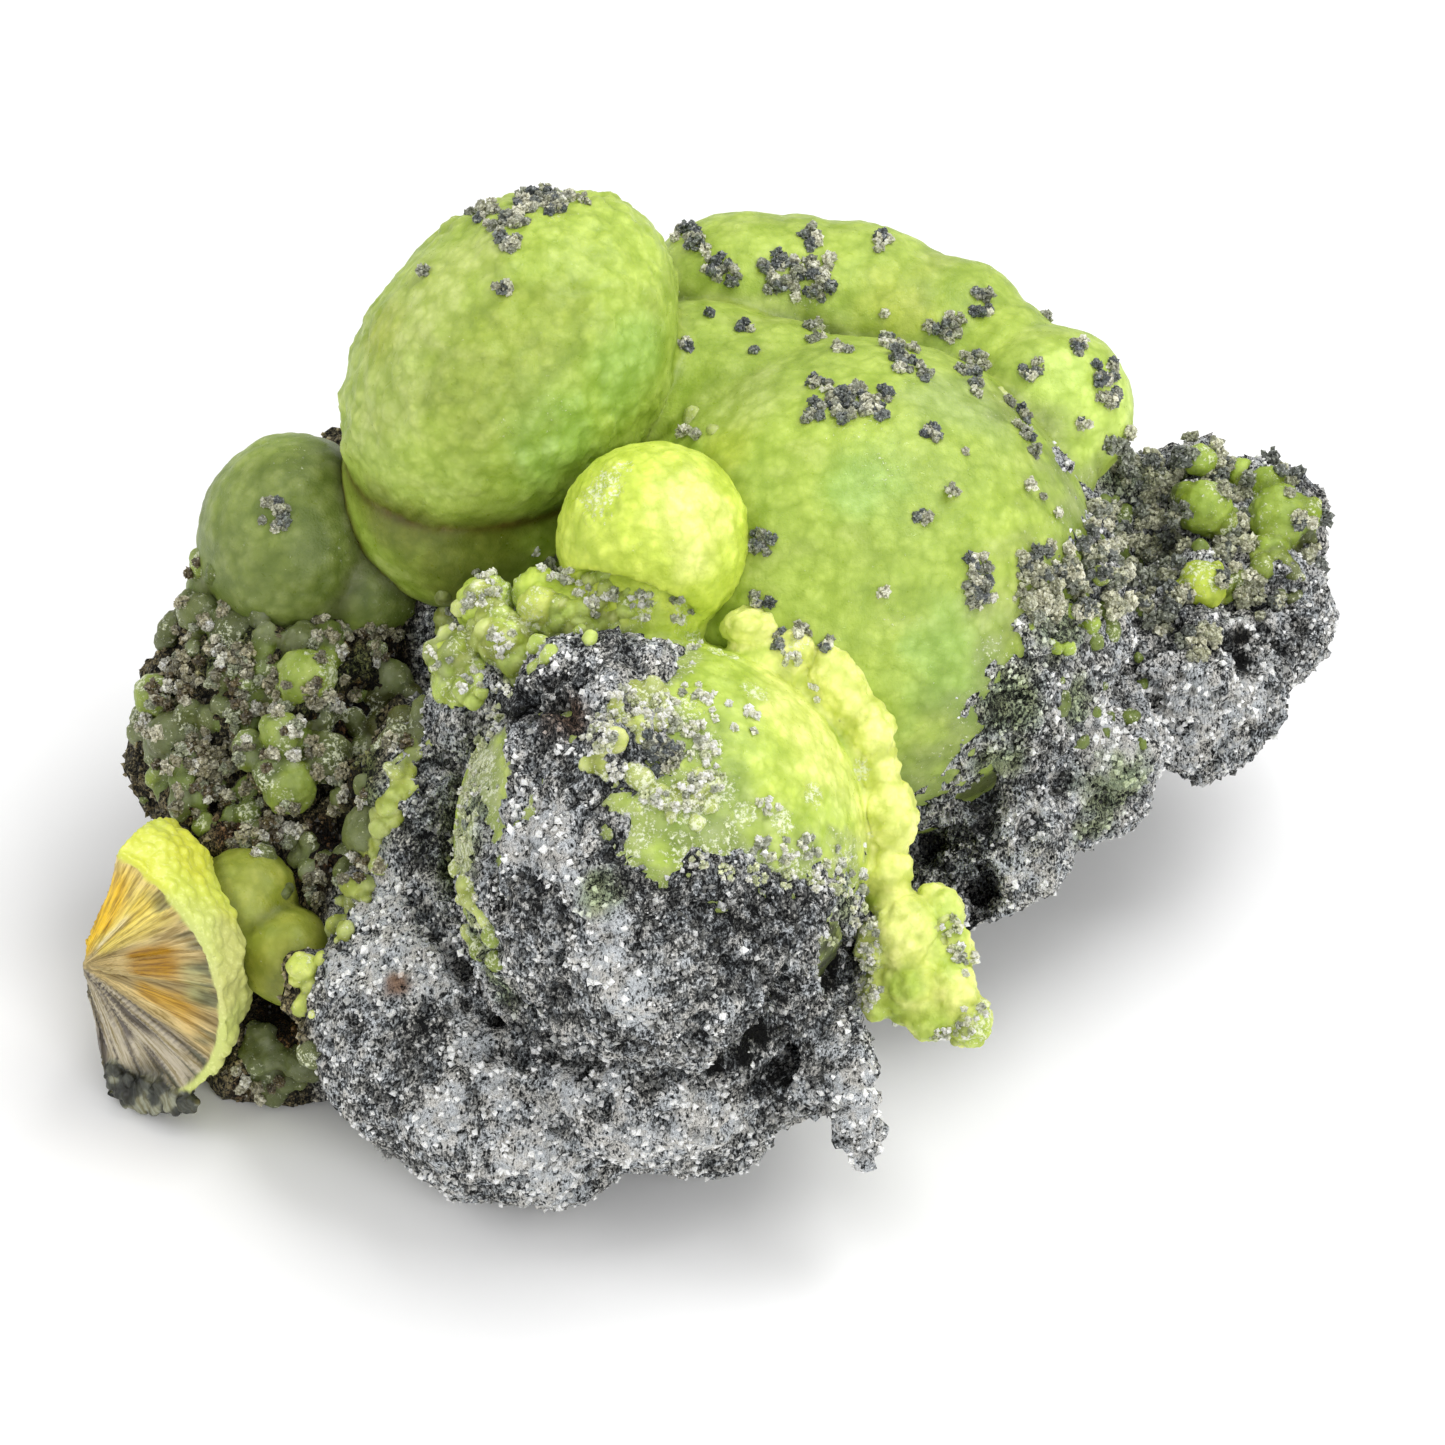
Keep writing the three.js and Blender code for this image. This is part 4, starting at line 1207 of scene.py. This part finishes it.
BEADS = [
    (PALE, [
        (461, 657, 15), (430, 655, 13), (446, 634, 9), (444, 610, 10), (478, 640, 10), (485, 627, 10),
        (523, 631, 10), (457, 608, 9), (486, 592, 9), (571, 631, 11), (338, 925, 9), (350, 900, 10),
        (363, 882, 10), (368, 864, 10), (378, 844, 10), (383, 828, 10), (394, 816, 10), (389, 797, 10),
        (406, 786, 10), (404, 770, 10), (414, 756, 9), (458, 866, 10), (464, 884, 12), (473, 902, 13),
        (482, 917, 11), (468, 932, 9), (638, 773, 16), (655, 689, 12), (600, 606, 9), (690, 415, 12),
        (712, 430, 8), (1002, 390, 9), (1215, 600, 8),
    ]),
    (LEDGE_GREEN, [
        (446, 692, 21), (501, 617, 15), (520, 657, 20), (535, 668, 14), (497, 645, 12), (515, 640, 11),
        (540, 645, 12), (556, 622, 10), (585, 608, 10),
    ]),
    (linear(238, 240, 176), [(615, 735, 12), (602, 748, 9), (628, 722, 10), (642, 738, 7), (655, 712, 8)]),
    (linear(198, 212, 84), [(1203, 578, 24), (1180, 590, 14), (1218, 570, 10), (1315, 503, 8)]),
    (APPLE, [
        (1198, 512, 26), (1200, 466, 17), (1282, 520, 34), (1262, 484, 18), (1240, 472, 13), (1185, 490, 14),
        (1210, 530, 14), (1268, 546, 20), (1298, 508, 20),
    ]),
    (linear(232, 238, 146), [
        (538, 600, 18), (306, 966, 15), (302, 1003, 12), (312, 985, 11), (322, 958, 9), (296, 984, 8),
        (312, 1012, 8),
    ]),
    (FADED, [
        (302, 681, 29), (284, 731, 19), (246, 749, 21), (283, 785, 28), (161, 699, 24), (199, 561, 17),
        (155, 775, 13), (205, 822, 13), (260, 700, 13), (330, 660, 14), (490, 932, 12), (480, 948, 12),
        (494, 958, 10),
    ]),
    (MOSS, [
        (237, 625, 24), (296, 637, 22), (199, 608, 20), (402, 678, 20), (419, 713, 18), (179, 737, 26),
        (331, 752, 27), (363, 825, 28), (267, 1038, 14), (304, 1058, 24), (345, 870, 14), (380, 650, 14),
        (176, 804, 18), (270, 700, 14), (225, 705, 12),
    ]),
]
BEAD_FIELDS = [  # small beads at random: (x, y, reach), how many, and their least and greatest radius
    (MOSS, (220, 640, 55), 16, 8, 17), (SAGE, (300, 680, 60), 16, 8, 18), (MOSS, (175, 720, 40), 16, 8, 16),
    (SAGE, (250, 760, 60), 18, 8, 18), (MOSS, (330, 760, 50), 14, 8, 17),
    (linear(92, 92, 44), (390, 710, 45), 16, 8, 17), (SAGE, (195, 600, 34), 12, 7, 15),
    (MOSS, (290, 850, 60), 14, 7, 15), (SAGE, (180, 800, 36), 12, 8, 15),
    (MOSS, (280, 1060, 40), 14, 8, 16), (FADED, (1090, 560, 30), 8, 7, 14),
    (SAGE, (1150, 520, 60), 14, 7, 14), (FADED, (1240, 540, 60), 16, 8, 16),
    (MOSS, (1285, 560, 40), 12, 7, 14), (SAGE, (1120, 590, 40), 12, 6, 12),
    (APPLE, (1060, 620, 30), 10, 6, 10), (SAGE, (1100, 700, 60), 14, 6, 11),
    (PALE, (475, 620, 42), 30, 6, 13), (LEDGE_GREEN, (455, 675, 34), 20, 6, 13),
    (LEDGE_GREEN, (520, 640, 34), 16, 7, 13), (LEDGE_GREEN, (590, 602, 40), 16, 6, 12),
    (PALE, (420, 745, 14), 8, 6, 10), (PALE, (400, 775, 14), 10, 6, 11), (PALE, (388, 812, 14), 10, 6, 11),
    (PALE, (372, 855, 14), 10, 6, 11), (PALE, (352, 895, 14), 10, 6, 11), (PALE, (340, 930, 12), 8, 6, 10),
    (PALE, (960, 1030, 16), 8, 4, 7), (PALE, (640, 710, 28), 26, 5, 10), (PALE, (700, 795, 26), 14, 4, 8),
    (PALE, (600, 770, 14), 8, 5, 9), (PALE, (670, 805, 22), 10, 4, 8), (PALE, (948, 930, 16), 8, 4, 8),
    (PALE, (468, 895, 12), 8, 5, 9), (PALE, (866, 945, 14), 8, 4, 9), (PALE, (870, 990, 12), 6, 4, 8),
    (PALE, (590, 605, 30), 12, 4, 9),
]


def beads_on(spots, field):
    """Balls half sunk in what the photograph shows at those pixels: centres, radii and colours."""
    found = []
    for colour, row in spots:
        found += [(colour, x, y, pixels, 0.45) for x, y, pixels in row]
    for colour, (x, y, reach), count, least, most in field:
        for _ in range(count):
            step_x, step_y = step_within(reach, rng)
            found.append((colour, x + step_x, y + step_y, rng.uniform(least, most), 0.5))
    centres, sizes, colours = [], [], []
    for colour, x, y, pixels, sunk in found:
        seen = seen_at(everything, x, y)
        if seen is not None and depth_in(BROKEN_BALL, seen[0][None])[0] > 0.6:
            sizes.append(pixels / PIXELS_PER_MM)
            centres.append(seen[0] - sunk * sizes[-1] * seen[1])
            colours.append(colour * rng.uniform(0.8, 1.15))
    return np.array(centres), np.array(sizes), np.array(colours)


rng = np.random.default_rng(7)
bead_centres, bead_sizes, bead_colours = beads_on(BEADS, BEAD_FIELDS)
unit, unit_faces = unit_sphere(3)
bead_parts = [
    (centre + unit * size * rng.uniform(0.88, 1.12, 3), unit_faces)
    for centre, size in zip(bead_centres, bead_sizes)
]
width, most = FINENESS["beads"]
bead_points, bead_faces = skin(bead_parts, width, smoothing=2)
bead_points, bead_faces = thinned(bead_points, bead_faces, under_rock(bead_points, 0.4), most)
nearness = np.linalg.norm(bead_points[:, None] - bead_centres[None], axis=2) / bead_sizes
bead_tint = bead_colours[nearness.argmin(axis=1)]
nearness.partition(1, axis=1)
meeting = 1 - ramp(nearness[:, 1] - nearness[:, 0], 0.05, 0.4)
bead_tint = bead_tint * (1 - meeting[:, None] * (1 - linear(206, 208, 150)))
bead_relief = 0.1 * domes(bead_points, 0.5, 185) + 0.17 * rough(bead_points, 1.2, 181, 2)
bead_points = raised(bead_points, bead_faces, bead_relief)
haze = ramp(rough(bead_points, 1.0, 187, 2), -0.1, 0.7) * (1 - ramp(bead_points @ ACROSS, -15, -12))
bead_tint = painted(bead_tint, (0.5 * haze, linear(148, 154, 134)))
with_beads = tree_of(*skins, (bead_points, bead_faces))
bead_frost = 0.4 + 0.5 * ramp(rough(bead_points, 1.2, 186, 2), -0.1, 0.6)
bead_frost = np.maximum(bead_frost, near(bead_points, FRONT_BALLS[:1], 0.5, 1.5))
piece("crust_beads", bead_points, bead_faces, crystal, "wavellite", tint=bead_tint, frost=bead_frost)

# Grey grains on the balls, as (x, y, radius) in the photograph's pixels

BALL_CLUMPS = [
    (560, 204, 12), (541, 206, 11), (575, 196, 9), (524, 214, 10), (494, 224, 9), (515, 240, 7),
    (488, 208, 7), (552, 192, 20), (530, 200, 14), (508, 216, 14), (478, 216, 10), (505, 242, 11),
    (503, 288, 8), (429, 274, 4), (681, 230, 12), (694, 240, 10), (713, 263, 16), (734, 276, 7),
    (779, 272, 20), (811, 284, 22), (820, 266, 12), (808, 239, 11), (881, 241, 9), (744, 330, 7),
    (709, 314, 5), (685, 343, 8), (817, 331, 11), (843, 349, 7), (755, 355, 4), (887, 317, 4),
    (890, 345, 10), (903, 359, 14), (922, 372, 10), (846, 403, 20), (820, 384, 10), (875, 400, 18),
    (815, 412, 12), (932, 432, 10), (980, 304, 14), (951, 330, 14), (932, 327, 6), (969, 368, 16),
    (976, 390, 7), (1005, 400, 7), (1018, 419, 8), (1028, 438, 7), (1034, 454, 5), (1029, 371, 11),
    (1047, 319, 9), (1079, 346, 9), (1104, 371, 13), (1110, 394, 11), (1079, 422, 6), (965, 451, 3),
    (953, 494, 3), (924, 515, 8), (976, 565, 12), (978, 590, 16), (764, 540, 12), (763, 598, 9),
    (884, 595, 5), (692, 434, 7), (672, 764, 16), (655, 745, 11), (1024, 486, 4), (1040, 500, 4),
    (1056, 515, 5), (275, 515, 14), (780, 640, 9), (800, 632, 9), (825, 645, 8),
]
GREYS = shades((160, 162, 138), (130, 135, 122), (188, 189, 162), (100, 105, 102), (212, 211, 186))
COOL_GREYS = shades((140, 143, 128), (108, 114, 112), (172, 173, 152), (84, 90, 94), (218, 217, 194))
grain_piece(
    "ball_grains", everything, BALL_CLUMPS, 0.055, (0.12, 0.42), (0.09, 0.24), 26, COOL_GREYS, rng, grains,
)

# Grains over the front ball and the ledge beside it

FROST_SPOTS = [
    (600, 740, 18), (625, 705, 18), (665, 715, 20), (700, 740, 22), (705, 780, 18), (680, 800, 16),
    (650, 798, 12), (620, 770, 12), (715, 705, 14), (745, 725, 14), (690, 690, 12), (770, 800, 12),
    (800, 850, 20), (760, 850, 16), (830, 860, 14), (860, 880, 14), (865, 930, 12), (870, 960, 12),
    (872, 990, 10), (600, 600, 16), (640, 605, 14), (680, 612, 14), (560, 570, 16), (545, 560, 12),
    (575, 585, 14), (490, 580, 16), (475, 600, 14), (455, 620, 14), (500, 640, 14), (440, 660, 12),
    (470, 680, 12), (960, 960, 14), (975, 1010, 12), (950, 1035, 14), (700, 655, 12), (790, 660, 12),
    (815, 690, 10),
]
FROST = shades((238, 239, 218), (204, 207, 184), (255, 255, 244), (158, 162, 146))
grain_piece("frost_grains", with_beads, FROST_SPOTS, 0.04, (0.06, 0.28), (0.07, 0.2), 15, FROST, rng, frosted)
RIM_SPOTS = [  # pale crumbs round the hollow on the front ball, along the rock's edge and down the pendant
    (612, 718, 10), (636, 702, 10), (662, 710, 10), (688, 728, 10), (708, 752, 10), (714, 780, 10),
    (697, 800, 11), (670, 806, 11), (645, 792, 9), (606, 745, 9), (700, 862, 9), (728, 872, 9),
    (756, 876, 9), (786, 880, 9), (816, 880, 10), (842, 888, 10), (858, 905, 9), (868, 925, 9),
    (868, 945, 9), (868, 962, 9), (869, 985, 9), (868, 1003, 9), (505, 690, 9), (494, 715, 10),
    (485, 740, 10), (477, 765, 10), (470, 790, 10), (464, 815, 9), (459, 840, 9), (456, 860, 8),
    (640, 720, 12), (600, 722, 10), (826, 941, 6), (478, 920, 7), (472, 900, 8), (950, 925, 10),
    (956, 950, 9), (964, 1030, 9), (940, 1040, 10), (905, 1034, 8), (890, 1028, 7),
]
WHITES = shades((232, 234, 204), (206, 212, 172), (246, 246, 232), (176, 184, 140))
grain_piece("rim_grains", everything, RIM_SPOTS, 0.1, (0.05, 0.24), (0.07, 0.17), 11, WHITES, rng, frosted)

# Grains over the slope on the left and the shelf on the right

SLOPE_SPOTS = [
    (200, 655, 36), (250, 690, 40), (170, 690, 26), (330, 640, 26), (380, 640, 24), (230, 760, 40),
    (292, 824, 22), (345, 790, 22), (400, 745, 14), (200, 790, 30), (250, 830, 30), (325, 880, 22),
    (360, 865, 18), (180, 750, 26), (330, 690, 24), (290, 740, 20), (180, 590, 18), (185, 560, 14),
    (240, 1080, 14), (270, 1090, 14), (150, 730, 16), (310, 760, 20), (225, 610, 12),
]
SHELF_SPOTS = [
    (1110, 520, 30), (1150, 480, 26), (1150, 550, 36), (1100, 590, 34), (1200, 640, 20), (1160, 600, 30),
    (1240, 500, 22), (1235, 560, 26), (1260, 600, 20), (1080, 560, 20), (1310, 560, 14), (1220, 470, 14),
    (1060, 590, 24), (1120, 450, 20), (1280, 460, 12), (1040, 610, 20), (1240, 540, 16), (1175, 450, 24),
    (1230, 450, 18), (1165, 500, 26), (1290, 480, 16), (1310, 520, 14), (1040, 560, 20), (1030, 590, 16),
]
EARTHY = shades(
    (160, 154, 128), (122, 118, 96), (194, 190, 168), (148, 154, 128), (222, 220, 206), (92, 80, 54),
)
grain_piece("slope_grains", with_beads, SLOPE_SPOTS, 0.02, (0.16, 0.46), (0.1, 0.24), 28, EARTHY, rng, grains)
grain_piece(
    "shelf_grains", with_beads, SHELF_SPOTS, 0.025, (0.25, 0.55), (0.12, 0.27), 32, GREYS, rng, grains,
)

# Camera, light and floor

def placed(name, data, place, turn=Matrix()):
    """An object in the scene at a place in millimetres."""
    obj = bpy.data.objects.new(name, data)
    bpy.context.scene.collection.objects.link(obj)
    obj.matrix_world = Matrix.Translation(Vector(place) * MM) @ turn.to_4x4()
    return obj


def area_light(name, place, power, width):
    """A soft light at a place in millimetres, turned toward the middle of the specimen."""
    light = bpy.data.lights.new(name, "AREA")
    light.energy = power
    light.size = width * MM
    toward = Vector(FACE_MIDDLE - np.array(place))
    placed(name, light, place, toward.to_track_quat("-Z", "Y").to_matrix())


camera = bpy.data.cameras.new("camera")
camera.sensor_width = SENSOR
camera.lens = CAMERA_DISTANCE * PIXELS_PER_MM * SENSOR / PHOTO_SIDE
camera.clip_start = 0.01
camera.clip_end = 10
bpy.context.scene.camera = placed("camera", camera, CAMERA_PLACE, Matrix((ACROSS, UP, OUT)).transposed())

area_light("key", (170, 60, 370), 1.08, 260)
area_light("fill", (-300, -40, 240), 0.35, 260)
area_light("front", (130, -330, 210), 0.56, 200)

WORLD_STRENGTH = 0.57
world = bpy.data.worlds.new("studio")
bpy.context.scene.world = world
world.use_nodes = True
background = world.node_tree.nodes["Background"]
background.inputs["Color"].default_value = (1, 1, 1, 1)
background.inputs["Strength"].default_value = WORLD_STRENGTH
bpy.context.scene.view_settings.view_transform = "Standard"

FLOOR_SIDE = 3000
floor_corners = np.array([[-1, -1, 0], [1, -1, 0], [1, 1, 0], [-1, 1, 0]]) * FLOOR_SIDE / 2
floor = placed("floor", new_mesh("floor", floor_corners * MM, [[0, 1, 2, 3]]), (0, 0, 0))
paper = Finish("pale_paper")
paper_tone = paper.mix(paper.noise(9.0, 3.0), screen(247, 247, 247), screen(250, 250, 250))
paper.set(Base_Color=paper_tone, Roughness=0.9)
floor.data.materials.append(paper.material)
